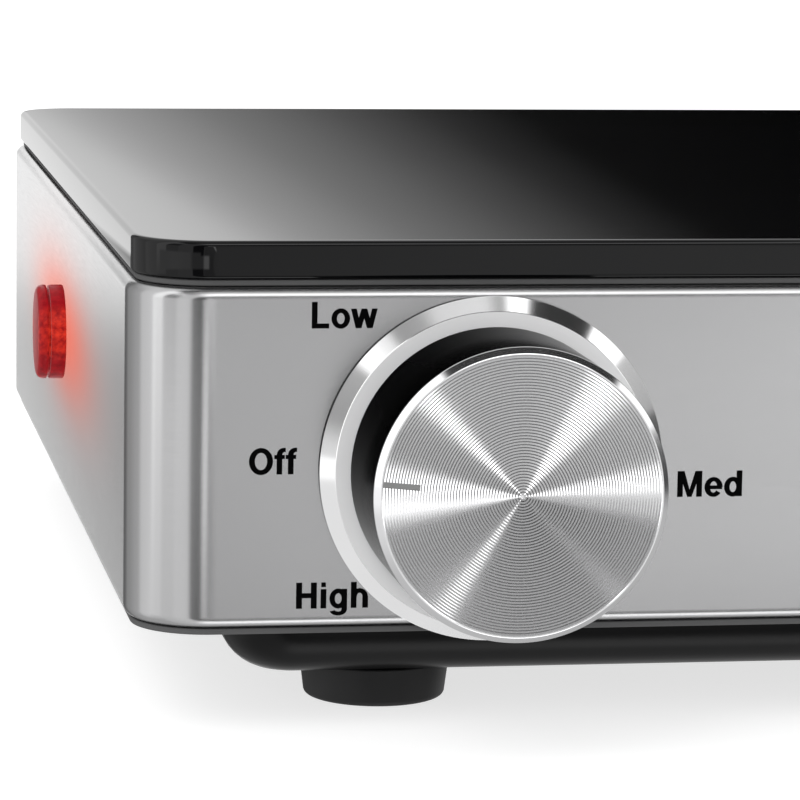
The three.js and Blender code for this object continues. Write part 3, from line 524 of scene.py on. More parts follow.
def makeRedLens():
    # A red moulding lit from behind: deep red with hot spots in line with the neon lamp.
    values = {
        "colour": (0.16, 0.003, 0.007),
        "glowColour": (1.0, 0.018, 0.026),
        "hotColour": (1.8, 0.12, 0.04),
        "strength": 0.42,
        "hotSpots": ((-7.6, 0.7), (-7.0, 2.6), (-6.6, -1.2), (6.5, 0.6)),  # along the wall and up, in mm
        "hotSize": 2.0,
    }
    made, tree, shader = paint("redLens", values["colour"], 0.3, IOR=1.45, Specular_IOR_Level=0.12)
    where = ownPlace(tree)
    across = vec(tree, "SUBTRACT", where, tuple(lampAxis))
    flat = vec(tree, "MULTIPLY", across, (0.4, 1, 1))
    heat = 0.0
    for along, up in values["hotSpots"]:
        apart = vec(tree, "DISTANCE", flat, (0, along * mm, up * mm))
        near = remap(tree, apart, 0.0, values["hotSize"] * mm * 1.6, 1.0, 0.0)
        heat = calc(tree, "MAXIMUM", near, heat)
    veins = put(tree, "ShaderNodeTexNoise", Vector=where, Scale=900.0, Detail=3.0, Roughness=0.6)
    patches = remap(tree, veins.outputs["Fac"], 0.35, 0.7, 0.12, 1.0)
    hot = calc(tree, "MULTIPLY", heat, patches)
    cloud = remap(tree, veins.outputs["Fac"], 0.3, 0.75, 0.16, 0.62)
    base = scaled(tree, values["glowColour"], cloud)
    glow = blendColour(tree, hot, base, (*values["hotColour"], 1))
    tree.links.new(glow, shader.inputs["Emission Color"])
    shader.inputs["Emission Strength"].default_value = values["strength"]
    relief(tree, shader, veins.outputs["Fac"], 0.00004)
    return made


def makeNeon():
    made, tree, shader = paint("neonLamp", (0.9, 0.45, 0.3), 0.08, IOR=1.5, Transmission_Weight=0.6)
    glowing(shader, (1.0, 0.28, 0.08), 1.6)
    return made


steelTone = (0.46, 0.47, 0.48)
brushedSteel = makeBrushedSteel()
spunFace = makeTurnedMetal("spunFace", (0.80, 0.80, 0.81), 0.12, 0.5, "Y")
# the barrel's near-black colour is a painted dark reflection
darkReflectionBarrel = makeTurnedMetal("paintedDarkBarrelMetal", (0.09, 0.09, 0.093), 0.14, 0.5, "Y", edgeTint=0.2)
blackGlass = makeBlackGlass()
greySilicone = makeMoulded("greySilicone", (0.080, 0.080, 0.081), 0.6)
blackEnamel = makeMoulded("blackEnamel", (0.003, 0.003, 0.0032), 0.3, 0.0012, 0.000012,
                          Specular_IOR_Level=0.16)
blackRubber = makeMoulded("blackRubber", (0.007, 0.007, 0.0075), 0.5, 0.0005, 0.00002,
                          Specular_IOR_Level=0.3)
blackPlastic = makeMoulded("blackPlastic", (0.012, 0.012, 0.013), 0.42)
printInk = makeMoulded("printInk", (0.001, 0.001, 0.001), 0.6, 0.0003, 0.000002, Specular_IOR_Level=0.03)
zincSteel = makeSheetMetal("zincSteel", steelTone, 0.34, 0.012, 0.12)
springSteel = makeSheetMetal("springSteel", (0.23, 0.235, 0.24), 0.30, 0.004, 0.15)
brassMetal = makeSheetMetal("brassMetal", (0.72, 0.48, 0.18), 0.28, 0.01, 0.10)
ceramic = makeMoulded("creamCeramic", (0.74, 0.68, 0.55), 0.62, 0.0008, 0.00002, 0.01, 0.06)
insulationFibre = makeFibre()
ribbonAlloy = makeSheetMetal("ribbonAlloy", (0.12, 0.105, 0.095), 0.5, 0.003, 0.3)
whiteNylon = makeMoulded("whiteNylon", (0.80, 0.80, 0.77), 0.42, Subsurface_Weight=0.1)
redLens, neonLamp = makeRedLens(), makeNeon()
wireTones = {"live": (0.11, 0.042, 0.017), "neutral": (0.022, 0.075, 0.28),
             "switched": (0.012, 0.012, 0.013),
             "lamp": (0.33, 0.018, 0.014), "earth": (0.075, 0.25, 0.042)}
wireInsulation = {name: makeMoulded(name + "Insulation", tone, 0.42, 0.0004, 0.000008)
                  for name, tone in wireTones.items()}
print("materials made:", len(bpy.data.materials))


# housing

cornerNames = ("front_left", "rear_left", "front_right", "rear_right")
screwNodes = {
    "pan": [f"foot_screw_{c}" for c in cornerNames] + ["bar_screw_left", "bar_screw_right", "earth_screw",
                                                       "block_screw"],
    "rim": [f"pan_screw_{c}" for c in cornerNames],
}


def rodCutter(axis, centre, radius, half=3 * mm):
    middle = centre["XYZ".index(axis)]
    outline = [(0, middle - half), (radius, middle - half), (radius, middle + half), (0, middle + half)]
    return revolved("cutter", outline, axis, centre, 48)


def makeShell():
    values = {
        "sheet": 0.8 * mm, "edge": 1.8 * mm, "edgeSteps": 8, "corner": 12 * mm, "upperFlange": 14 * mm,
        "lowerFlange": 11.5 * mm,  # stops just short of the pan, which hides its edge
        "bushHole": 5.3 * mm, "glandHole": 7.1 * mm, "lampHole": 6.3 * mm, "screwHole": 1.8 * mm,
    }
    edge, sheet, low, high = values["edge"], values["sheet"], shellLow.z, shellHigh.z
    steps, upper, lower = values["edgeSteps"], values["upperFlange"], values["lowerFlange"]
    profile = arcPoints(edge, low + edge, edge, -90, -180, steps)
    profile += arcPoints(edge, high - edge, edge, 180, 90, steps)
    profile += [(upper, high), (upper, high - sheet)]
    profile += arcPoints(edge, high - edge, edge - sheet, 90, 180, steps)
    profile += arcPoints(edge, low + edge, edge - sheet, 180, 270, steps)
    profile += [(lower, low + sheet), (lower, low)]
    shell = carried("shellSkin", shellLow, shellHigh, values["corner"], profile, True)
    gland, screwHole = middleOf("cord_gland"), values["screwHole"]
    cutters = [rodCutter("Y", (knobAxis.x, frontY, knobAxis.z), values["bushHole"]),
               rodCutter("Y", (gland.x, shellHigh.y, gland.z), values["glandHole"]),
               rodCutter("X", (leftX, lampAxis.y, lampAxis.z), values["lampHole"])]
    for middle in (middleOf("regulator_screw_1"), middleOf("regulator_screw_2")):
        cutters.append(rodCutter("Y", (middle.x, frontY, middle.z), screwHole))
    for node in screwNodes["rim"]:
        cutters.append(rodCutter("Z", (*middleOf(node).xy, low), screwHole))
    cutWith(shell, cutters)
    return standFor(shell, "housing", "stainless", brushedSteel, "shell")


def makeSeal(node, name):
    low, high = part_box(node)
    width, corner = {"upper_seal": (8 * mm, 10.6 * mm), "lower_seal": (3.6 * mm, 11 * mm)}[node]
    lip = 0.2 * mm  # the rounding of the outer edges
    profile = arcPoints(lip, low.z + lip, lip, 270, 180, 3) + arcPoints(lip, high.z - lip, lip, 180, 90, 3)
    profile += [(width, high.z), (width, low.z)]
    seal = carried(name, low, high, corner, profile, True)
    return standFor(seal, "housing", "grey_seal", greySilicone, node)


def makeGlass():
    values = {"topRound": 0.8 * mm, "bottomRound": 0.6 * mm, "corner": 11.2 * mm, "guard": 0.5 * mm}
    top, bottom, guard = values["topRound"], values["bottomRound"], values["guard"]
    profile = arcPoints(bottom, glassLow.z + bottom, bottom, 270, 180, 5)
    profile += arcPoints(top, glassHigh.z - top, top, 180, 90, 8)
    profile = [(bottom + guard, glassLow.z)] + profile + [(top + guard, glassHigh.z)]
    glass = carried("glassPlate", glassLow, glassHigh, values["corner"], profile, sharpAngle=60)
    return standFor(glass, "housing", "black_glass", blackGlass, "glass_top")


def makePan():
    values = {
        "sheet": 0.8 * mm, "edge": 8 * mm, "edgeSteps": 10, "corner": 11 * mm, "rim": 9 * mm,
        "screwHole": 1.8 * mm,
        "vent": (34 * mm, 3 * mm), "ventPitch": 8 * mm, "perGroup": 6, "groupOffset": 34 * mm,
    }
    low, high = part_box("base_pan")
    sheet, edge, rim, steps = values["sheet"], values["edge"], values["rim"], values["edgeSteps"]
    inLow, inHigh = low + Vector((rim, rim, 0)), high - Vector((rim, rim, 0))
    profile = arcPoints(edge, low.z + edge, edge, -90, -180, steps)
    profile += [(0, high.z - sheet), (-rim, high.z - sheet), (-rim, high.z), (sheet, high.z)]
    profile += arcPoints(edge, low.z + edge, edge - sheet, 180, 270, steps)
    pan = carried("panPressing", inLow, inHigh, values["corner"], profile)
    # One tool cuts every vent: a slot instanced on a grid of points.
    length, width = values["vent"]
    corner = Vector((length / 2, width / 2, 0))
    slot = carried("ventTool", -corner, corner, width / 2 - 0.01 * mm, [(0, -3 * mm), (0, 3 * mm)],
                   cornerSteps=6)
    middle, count = (low + high) / 2, values["perGroup"]
    offset, pitch = values["groupOffset"], values["ventPitch"]
    places = [(middle.x + side * offset, middle.y + (i - (count - 1) / 2) * pitch, low.z)
              for side in (-1, 1) for i in range(count)]
    vents = scattered("ventTools", places, slot, blackEnamel)
    screws = [rodCutter("Z", (*middleOf(node).xy, height), values["screwHole"])
              for group, height in (("pan", low.z), ("rim", high.z)) for node in screwNodes[group]]
    cutWith(pan, [vents] + screws)
    return standFor(pan, "housing", "black_enamel", blackEnamel, "base_pan")


def makeFeet():
    values = {"recess": 4.4 * mm, "recessDepth": 3.4 * mm, "taper": 0.6 * mm, "edge": 0.9 * mm,
              "topEdge": 0.35 * mm,
              "bore": 1.8 * mm}
    low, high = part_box("foot_front_left")
    radius, height = (high.x - low.x) / 2, high.z
    edge, taper, topEdge = values["edge"], values["taper"], values["topEdge"]
    outline = [(values["recess"], 0)] + arcPoints(radius - taper - edge, edge, edge, -90, 0, 6)
    outline += arcPoints(radius - topEdge, height - topEdge, topEdge, 0, 90, 4)
    outline += [(values["bore"], height), (values["bore"], values["recessDepth"]),
                (values["recess"], values["recessDepth"])]
    foot = revolved("footPiece", outline, "Z", (0, 0, 0), 72)
    places = [(*middleOf(f"foot_{c}").xy, 0) for c in cornerNames]
    feet = scattered("feet", places, foot, blackRubber)
    return standFor(feet, "housing", "black_rubber", blackRubber, *[f"foot_{c}" for c in cornerNames])


def screwPiece(length, values):
    # A pan-head screw that points up, its head's underside at z = 0, with a cross recess.
    shank, root, head, deep = values["shank"], values["root"], values["head"], values["headHeight"]
    edge, pitch = values["headEdge"], values["pitch"]
    outline = [(0, -deep)] + arcPoints(head - edge, edge - deep, edge, -90, 0, 6)
    outline += [(head, 0), (shank * 0.97, 0)]
    for i in range(int((length - 0.1 * mm) / pitch - 0.2)):
        z = (i + 0.25) * pitch
        outline += [(root, z), (shank, z + pitch * 0.45), (root, z + pitch * 0.9)]
    outline += [(shank * 0.72, length - 0.02 * mm), (0, length)]
    piece = revolved("screwPiece", outline, "Z", (0, 0, 0), 32)
    arms = [barTool(values["recess"], 0, turn, "Z", (0, 0, -deep)) for turn in (0, math.pi / 2)]
    return cutWith(piece, arms)


def makeScrews():
    values = {"shank": 1.46 * mm, "root": 1.168 * mm, "head": 2.8 * mm, "headHeight": 1.6 * mm,
              "headEdge": 1.0 * mm,
              "pitch": 0.7 * mm, "recess": (3.22 * mm, 0.55 * mm, 1.9 * mm)}
    head, pan = values["headHeight"], screwNodes["pan"]
    upwards, forwards = 2, 1  # the axis that a screw lies along
    for name, nodes, along in (("footScrews", pan[:4], upwards), ("barScrews", pan[4:6], upwards),
                               ("tabScrew", pan[6:7], upwards), ("blockScrew", pan[7:], upwards),
                               ("rimScrews", screwNodes["rim"], upwards),
                               ("regulatorScrews", ["regulator_screw_1", "regulator_screw_2"], forwards)):
        low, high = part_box(nodes[0])
        one = screwPiece(high[along] - low[along] - head, values)
        places = [middleOf(node) for node in nodes]
        for node, place in zip(nodes, places):
            place[along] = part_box(node)[0][along] + head
        turn = (-math.pi / 2 if along == forwards else 0.0, 0.0, 0.0)
        screws = scattered(name, places, one, zincSteel, turn)
        standFor(screws, "housing", "zinc_steel", zincSteel, *nodes)


makeShell()
makeSeal("upper_seal", "upperSeal")
makeSeal("lower_seal", "lowerSeal")
makeGlass()
makePan()
makeFeet()
makeScrews()
print("housing, glass, pan, feet and screws made")


# knob

def makeKnobCap():
    # The face carries concentric grooves and one engraved mark, cut as real geometry.
    values = {
        "radius": 21.1 * mm, "chamfer": 0.9 * mm, "wall": 0.8 * mm, "face": 1.0 * mm, "segments": 192,
        "pitch": 0.42 * mm, "grooved": 20.08 * mm, "depth": 0.042 * mm, "outwardFlank": 0.6,
        "crest": 0.002 * mm,
        "markAngle": 174.4,  # degrees from +X towards +Z, seen from the front
        "markFrom": 14.7 * mm, "markTo": 20.0 * mm, "markWidth": 0.85 * mm, "markDepth": 0.1 * mm,
    }
    low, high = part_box("knob_cap")
    radius, face, back, chamfer = values["radius"], low.y, high.y, values["chamfer"]
    pitch, grooved, inner = values["pitch"], values["grooved"], values["radius"] - values["wall"]
    valley, crest, inside = face + values["depth"], face + values["crest"], face + values["face"]
    grooves = int(grooved / pitch)
    outline = [(0.0, valley)]
    for i in range(1, grooves + 1):  # the crest of each groove lies on the face
        start = grooved - (grooves - i + 1) * pitch
        if start > 0.05 * mm:
            outline.append((start, crest))
        outline.append((start + pitch * values["outwardFlank"], valley))
    outline += [(grooved, crest), (grooved + 0.02 * mm, crest), (radius - chamfer - 0.02 * mm, crest),
                (radius - chamfer * 0.93, face + chamfer * 0.05),
                (radius - chamfer * 0.06, face + chamfer * 0.92),
                (radius, face + chamfer + 0.05 * mm), (radius, back), (inner, back), (inner, inside),
                (0.0, inside)]
    centre = Vector((knobAxis.x, 0, knobAxis.z))
    cap = revolved("knobCap", outline, "Y", centre, values["segments"], 20)
    mark = math.radians(values["markAngle"])
    start, end = values["markFrom"], values["markTo"]
    size = (end - start, 2 * values["markDepth"], values["markWidth"])
    cutWith(cap, [barTool(size, (start + end) / 2, -mark, "Y", (centre.x, face, centre.z))])
    cap.data.set_sharp_from_angle(angle=math.radians(14))
    # The barrel's sides take a near-black metal that is a painted dark reflection, and the mark has its own
    # finish.
    cap.data.materials.clear()
    for metal in (spunFace, darkReflectionBarrel, markMetal):
        cap.data.materials.append(metal)
    markEnd = Vector((math.cos(mark), 0, math.sin(mark)))
    for polygon in cap.data.polygons:
        across, depth = polygon.center - centre, polygon.center.y - face
        across.y = 0
        inMark = values["depth"] * 1.1 < depth < 0.5 * mm and across.length < grooved + 0.5 * mm
        if across.length > radius - 0.2 * mm and depth > chamfer:
            polygon.material_index = 1
        elif inMark and across.dot(markEnd) > 0:
            polygon.material_index = 2
    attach(cap, "knob")
    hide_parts("knob_cap")
    print("knob cap:", len(cap.data.polygons), "faces")
    return cap


def makeSkirt():
    values = {"bevel": 2.1 * mm, "lip": 0.3 * mm, "bore": 17.6 * mm, "grooves": 7, "depth": 0.02 * mm}
    radius, front, back = (skirtHigh.x - skirtLow.x) / 2, skirtLow.y, skirtHigh.y
    inner = radius - values["bevel"]
    lipY = back - values["lip"]
    outline = [(values["bore"], back), (radius - 0.1 * mm, back), (radius, back - 0.1 * mm), (radius, lipY)]
    fine = 2 * values["grooves"]
    slope = Vector((inner - radius, front - lipY))
    inward = Vector((-slope.y, slope.x)).normalized()
    if inward.x > 0:
        inward = -inward
    for i in range(1, fine):  # fine turning marks along the bevel
        point = Vector((radius, lipY)) + slope * (i / fine) + inward * (values["depth"] if i % 2 else 0)
        outline.append((point.x, point.y))
    outline += [(inner, front), (inner - 0.12 * mm, front), (values["bore"] + 0.1 * mm, front),
                (values["bore"], front + 0.1 * mm)]
    skirt = revolved("knobSkirt", outline, "Y", knobAxis, 256, 20)
    standFor(skirt, "knob", "spun_aluminium", spunSkirt, "knob_skirt")
    skirt.data.materials.append(satinRing)
    for polygon in skirt.data.polygons:
        if polygon.normal.y < -0.99:
            polygon.material_index = 1
    return skirt


spunSkirt = makeTurnedMetal("spunSkirt", (0.92, 0.92, 0.925), 0.13, 0.5, "Y", 0.0001)
satinRing = makeTurnedMetal("satinRing", (0.90, 0.90, 0.905), 0.45, 0.0, "Y")
satinRing.node_tree.nodes["Principled BSDF"].inputs["Metallic"].default_value = 0.2
markMetal = makeTurnedMetal("engravedMark", (0.36, 0.36, 0.36), 0.45, 0.0, "Y")
makeKnobCap()
makeSkirt()
print("knob made")


# indicator lamp

def makeLens():
    values = {"radius": 8.05 * mm, "flange": 2.5 * mm, "groove": 0.4 * mm, "grooveDepth": 0.8 * mm,
              "cap": 1.7 * mm,
              "neck": 4.2 * mm, "hollow": 3.2 * mm, "frontEdge": 1.1 * mm, "capEdge": 0.2 * mm,
              "flangeEdge": 0.25 * mm, "wallEdge": 0.15 * mm}
    radius, frontEdge, capEdge = values["radius"], values["frontEdge"], values["capEdge"]
    flangeEdge, wallEdge = values["flangeEdge"], values["wallEdge"]
    front, back = lensLow.x, lensHigh.x
    capBack = front + values["cap"]
    flangeFront = capBack + values["groove"]
    wall = flangeFront + values["flange"]
    inner = radius - values["grooveDepth"]
    outline = [(0, front)] + arcPoints(radius - frontEdge, front + frontEdge, frontEdge, -90, 0, 8)
    outline += arcPoints(radius - capEdge, capBack - capEdge, capEdge, 0, 90, 3)
    outline += [(inner, capBack), (inner, flangeFront)]
    outline += arcPoints(radius - flangeEdge, flangeFront + flangeEdge, flangeEdge, -90, 0, 4)
    outline += [(radius, wall - wallEdge), (radius - wallEdge, wall), (values["neck"], wall),
                (values["neck"], back),
                (values["hollow"], back), (values["hollow"], capBack), (0, capBack)]
    lens = revolved("lampLens", outline, "X", lampAxis, 96, 40)
    lens.visible_glossy = False  # the lamp's halo on the wall is painted light in the wall's own material
    return standFor(lens, "housing", "red_lens", redLens, "indicator_lens")


makeLens()
print("indicator lamp made")


# dial print

# Letters of a plain bold face, built from bars, rings and slanted strokes. One unit is a capital's height.
stem, xHeight, boldness = 0.19, 0.74, 0.022
letters = {
    "L": (0.85, (("bar", 0.105, 0, 0.295, 1), ("bar", 0.105, 0, 0.80, 0.165))),
    "o": (0.85, (("ring", 0.425, 0.37, 0.37, 0.385, 0.18, 0.225, 0, 360),)),
    "w": (1.08, (("slant", 0.01, xHeight, 0.215, 0), ("slant", 0.445, xHeight, 0.215, 0),
                 ("slant", 0.445, xHeight, 0.68, 0),
                 ("slant", 0.88, xHeight, 0.68, 0))),
    "O": (1.08, (("ring", 0.54, 0.5, 0.485, 0.515, 0.275, 0.345, 0, 360),)),
    "f": (0.47, (("bar", 0.13, 0, 0.32, 0.78), ("bar", 0.01, 0.605, 0.445, xHeight),
                 ("ring", 0.40, 0.76, 0.27, 0.25, 0.08, 0.09, 90, 180),
                 ("bar", 0.40, 0.85, 0.46, 1.01))),
    "H": (1.0, (("bar", 0.10, 0, 0.30, 1), ("bar", 0.70, 0, 0.90, 1), ("bar", 0.2, 0.425, 0.8, 0.595))),
    "i": (0.386, (("bar", 0.098, 0, 0.288, xHeight), ("bar", 0.098, 0.84, 0.288, 1))),
    "g": (0.85, (("ring", 0.41, 0.37, 0.345, 0.385, 0.16, 0.22, 0, 360),
                 ("bar", 0.565, -0.07, 0.75, xHeight),
                 ("ring", 0.41, -0.06, 0.34, 0.225, 0.155, 0.09, 195, 360))),
    "h": (0.85, (("bar", 0.095, 0, 0.285, 1), ("ring", 0.43, 0.43, 0.325, 0.325, 0.135, 0.165, 0, 180),
                 ("bar", 0.565, 0, 0.755, 0.44))),
    "M": (1.157, (("bar", 0.10, 0, 0.285, 1), ("bar", 0.872, 0, 1.057, 1),
                  ("quad", 0.12, 1, 0.36, 1, 0.665, 0, 0.49, 0),
                  ("quad", 1.037, 1, 0.797, 1, 0.49, 0, 0.665, 0))),
    "e": (0.77, (("ring", 0.39, 0.37, 0.355, 0.385, 0.165, 0.235, 0, 322),
                 ("bar", 0.10, 0.305, 0.742, 0.43))),
    "d": (0.85, (("ring", 0.405, 0.37, 0.345, 0.385, 0.155, 0.225, 0, 360), ("bar", 0.565, 0, 0.755, 1))),
}


def letterPart(bm, part, offset, thickness):
    # One stroke as a thin closed plate standing in X and Z, its front at y = 0.
    kind, sizes = part[0], part[1:]
    grow = boldness
    if kind == "ring":
        x, z, outX, outZ, inX, inZ, start, end = sizes
        outX, inX, inZ = outX + 0.6 * grow, inX - grow, inZ - 0.8 * grow
        steps = 48
        full = end - start == 360
        turns = [math.radians(start + (end - start) * i / steps) for i in range(steps + (0 if full else 1))]
        outer = [(x + outX * math.cos(a), z + outZ * math.sin(a)) for a in turns]
        inner = [(x + inX * math.cos(a), z + inZ * math.sin(a)) for a in turns]
        count = len(turns) if full else len(turns) - 1
        quads = [(outer[i], outer[(i + 1) % len(turns)], inner[(i + 1) % len(turns)], inner[i])
                 for i in range(count)]
    elif kind == "slant":
        x, z, toX, toZ = sizes
        quads = [((x - grow, z), (toX - grow, toZ), (toX + stem + grow, toZ), (x + stem + grow, z))]
    elif kind == "quad":
        quads = [tuple(zip(sizes[::2], sizes[1::2]))]
    else:
        x, z, toX, toZ = sizes
        if toZ - z > toX - x:
            x, toX = x - grow, toX + grow
        elif z > 0:
            z = z - grow
        else:
            toZ = toZ + grow
        quads = [((x, z), (toX, z), (toX, toZ), (x, toZ))]
    made = {}
    faces = []
    for quad in quads:
        corners = []
        for point in quad:
            key = (round(point[0], 6), round(point[1], 6))
            if key not in made:
                made[key] = bm.verts.new((point[0] + offset, 0, point[1]))
            corners.append(made[key])
        faces.append(bm.faces.new(corners))
    bmesh.ops.recalc_face_normals(bm, faces=faces)
    if sum(face.normal.y for face in faces) > 0:
        bmesh.ops.reverse_faces(bm, faces=faces)
    # The plate needs both its sides, so the first faces are copied before they are drawn back.
    drawn = bmesh.ops.extrude_face_region(bm, geom=faces, use_keep_orig=True)["geom"]
    bmesh.ops.translate(bm, vec=(0, thickness, 0), verts=[g
                                                          for g in drawn if isinstance(g,
                                                                                       bmesh.types.BMVert)])


def glyph(parts, offset):
    # One letter: its strokes joined into one closed plate.
    strokes = []
    for index, part in enumerate(parts):
        bm = bmesh.new()
        letterPart(bm, part, offset, 0.01 + 0.0002 * index)
        strokes.append(finishMesh(bm, "stroke"))
    for other in strokes[1:]:
        joining = strokes[0].modifiers.new("join", "BOOLEAN")
        joining.operation, joining.solver, joining.object = "UNION", "EXACT", other
    mesh = evaluatedMesh(strokes[0])
    for stroke in strokes:
        bpy.data.objects.remove(stroke)
    return mesh


def makeLabels():
    # Each word: to the right of the knob's axis, above it, and its width, in mm.
    values = {"thickness": 0.02 * mm, "lift": 0.002 * mm, "capital": 3.85 * mm,
              "words": (("Low", -21.9, 22.65, 9.6), ("Off", -32.1, 1.4, 7.0), ("High", -23.2, -18.45, 10.6),
                        ("Med", 32.8, -2.7, 9.8))}
    for word, right, up, width in values["words"]:
        bm, offset = bmesh.new(), 0.0
        for letter in word:
            advance, parts = letters[letter]
            mesh = glyph(parts, offset)
            bm.from_mesh(mesh)
            bpy.data.meshes.remove(mesh)
            offset += advance
        lowX, highX = min(v.co.x for v in bm.verts), max(v.co.x for v in bm.verts)
        depth = max(v.co.y for v in bm.verts)
        scale = width * mm / (highX - lowX)
        for v in bm.verts:
            v.co = Vector((knobAxis.x + right * mm + (v.co.x - (lowX + highX) / 2) * scale,
                           frontY - values["lift"] - values["thickness"] * (1 - v.co.y / depth),
                           knobAxis.z + up * mm + (v.co.z - 0.5) * values["capital"]))
        standFor(finishMesh(bm, "dial" + word), "housing", "black_plastic", printInk)


makeLabels()
print("dial print made")


# heater

def pathObject(name, points):
    curve = bpy.data.curves.new(name, "CURVE")
    curve.dimensions = "3D"
    curve.twist_mode = "Z_UP"
    spline = curve.splines.new("POLY")
    spline.points.add(len(points) - 1)
    for target, point in zip(spline.points, points):
        target.co = (*point, 1)
    return placed(name, curve)


def ribbonTree():
    # A corrugated strip that follows the path: a flat section swept along, its wave set by position.
    tree, given, result = nodeTree("heaterRibbon", [
        ("Height", "NodeSocketFloat", 5 * mm), ("Thickness", "NodeSocketFloat", 0.2 * mm),
        ("Wave", "NodeSocketFloat", 0.5 * mm), ("Wave Length", "NodeSocketFloat", 3 * mm),
        ("Step", "NodeSocketFloat", 0.5 * mm), ("Material", "NodeSocketMaterial", None)])
    fine = put(tree, "GeometryNodeResampleCurve", Curve=given.outputs["Geometry"])
    fine.mode = "LENGTH"
    tree.links.new(given.outputs["Step"], fine.inputs["Length"])
    along = tree.nodes.new("GeometryNodeSplineParameter").outputs["Length"]
    phase = calc(tree, "DIVIDE", along, given.outputs["Wave Length"])
    swing = calc(tree, "SINE", calc(tree, "MULTIPLY", phase, 2 * math.pi))
    size = calc(tree, "MULTIPLY", swing, given.outputs["Wave"])
    place = tree.nodes.new("GeometryNodeInputPosition").outputs[0]
    shift = scaled(tree, vec(tree, "NORMALIZE", place), size)
    waved = put(tree, "GeometryNodeSetPosition", Geometry=fine.outputs[0], Offset=shift)
    section = put(tree, "GeometryNodeCurvePrimitiveQuadrilateral", Width=given.outputs["Thickness"],
                  Height=given.outputs["Height"])
    strip = put(tree, "GeometryNodeCurveToMesh", Curve=waved.outputs[0], Profile_Curve=section.outputs[0],
                Fill_Caps=True)
    return endTree(tree, given, result, strip.outputs[0])


def makeRibbon():
    values = {"turns": 4, "inner": 16 * mm, "border": 14 * mm, "wave": 0.42 * mm, "waveLength": 2.6 * mm,
              "strip": 0.28 * mm}
    low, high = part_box("heater_ribbon")
    ringLow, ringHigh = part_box("heater_ring")
    centre = (ringLow + ringHigh) / 2
    outer = (ringHigh.x - ringLow.x) / 2 - values["border"]
    steps = 90 * values["turns"]
    points = []
    for i in range(steps + 1):
        radius = values["inner"] + (outer - values["inner"]) * i / steps
        angle = 2 * math.pi * values["turns"] * i / steps
        points.append((radius * math.cos(angle), radius * math.sin(angle), 0))
    path = pathObject("ribbonPath", points)
    ribbon = grown("heaterRibbon", path, ribbonTree(), {
        "Height": high.z - low.z - 0.1 * mm, "Thickness": values["strip"], "Wave": values["wave"],
        "Wave Length": values["waveLength"], "Material": ribbonAlloy})
    ribbon.data.transform(Matrix.Translation((centre.x, centre.y, (low.z + high.z) / 2)))
    return standFor(ribbon, "housing", "ribbon_alloy", ribbonAlloy, "heater_ribbon")


def makeSprings():
    values = {"radius": 5 * mm, "wire": 0.7 * mm, "turns": 4.0,
              "room": 1.05}  # room in wire radii at each end
    boxes = [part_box(f"heater_spring_{side}") for side in ("left", "right")]
    low, high = boxes[0]
    room = values["room"] * values["wire"]
    rise = high.z - low.z - 2 * room
    places = [((a.x + b.x) / 2, (a.y + b.y) / 2, low.z + room) for a, b in boxes]
    springs = grown("heaterSprings", pointsObject("springPlaces", places), springTree(), {
        "Radius": values["radius"], "Wire": values["wire"], "Rise": rise, "Turns": values["turns"],
        "Material": springSteel})
    return standFor(springs, "housing", "spring_steel", springSteel, "heater_spring_left",
                    "heater_spring_right")


makeRibbon()
makeSprings()
print("heater ribbon and springs made")


# finishes of the nodes that keep their CAD shape

def dress():
    plain = {
        zincSteel: ("heater_dish", "spring_bar", "regulator_plate", "regulator_shaft"),
        insulationFibre: ("heater_base", "heater_ring"),
        springSteel: ("limiter_rod", "knob_clip", "indicator_clip"),
        ceramic: ("limiter_head", "terminal_block"),
        blackPlastic: ("knob_core", "regulator_case", "regulator_cover", "indicator_body"),
        brassMetal: ("contact_lever", "earth_tab", *[f"regulator_tab_{i}" for i in range(1, 5)]),
        whiteNylon: ("regulator_cam",),
        neonLamp: ("indicator_neon",),
        blackRubber: ("cord_gland",),
        **{wireInsulation[name]: (f"wire_{name}",) for name in wireTones},
    }
    for finish, names in plain.items():
        for name in names:
            mesh = cadNodes[name].data
            mesh.materials.clear()
            mesh.materials.append(finish)
            for polygon in mesh.polygons:
                polygon.material_index = 0
    return sum(len(names) for names in plain.values())


print("CAD nodes dressed:", dress())


# studio

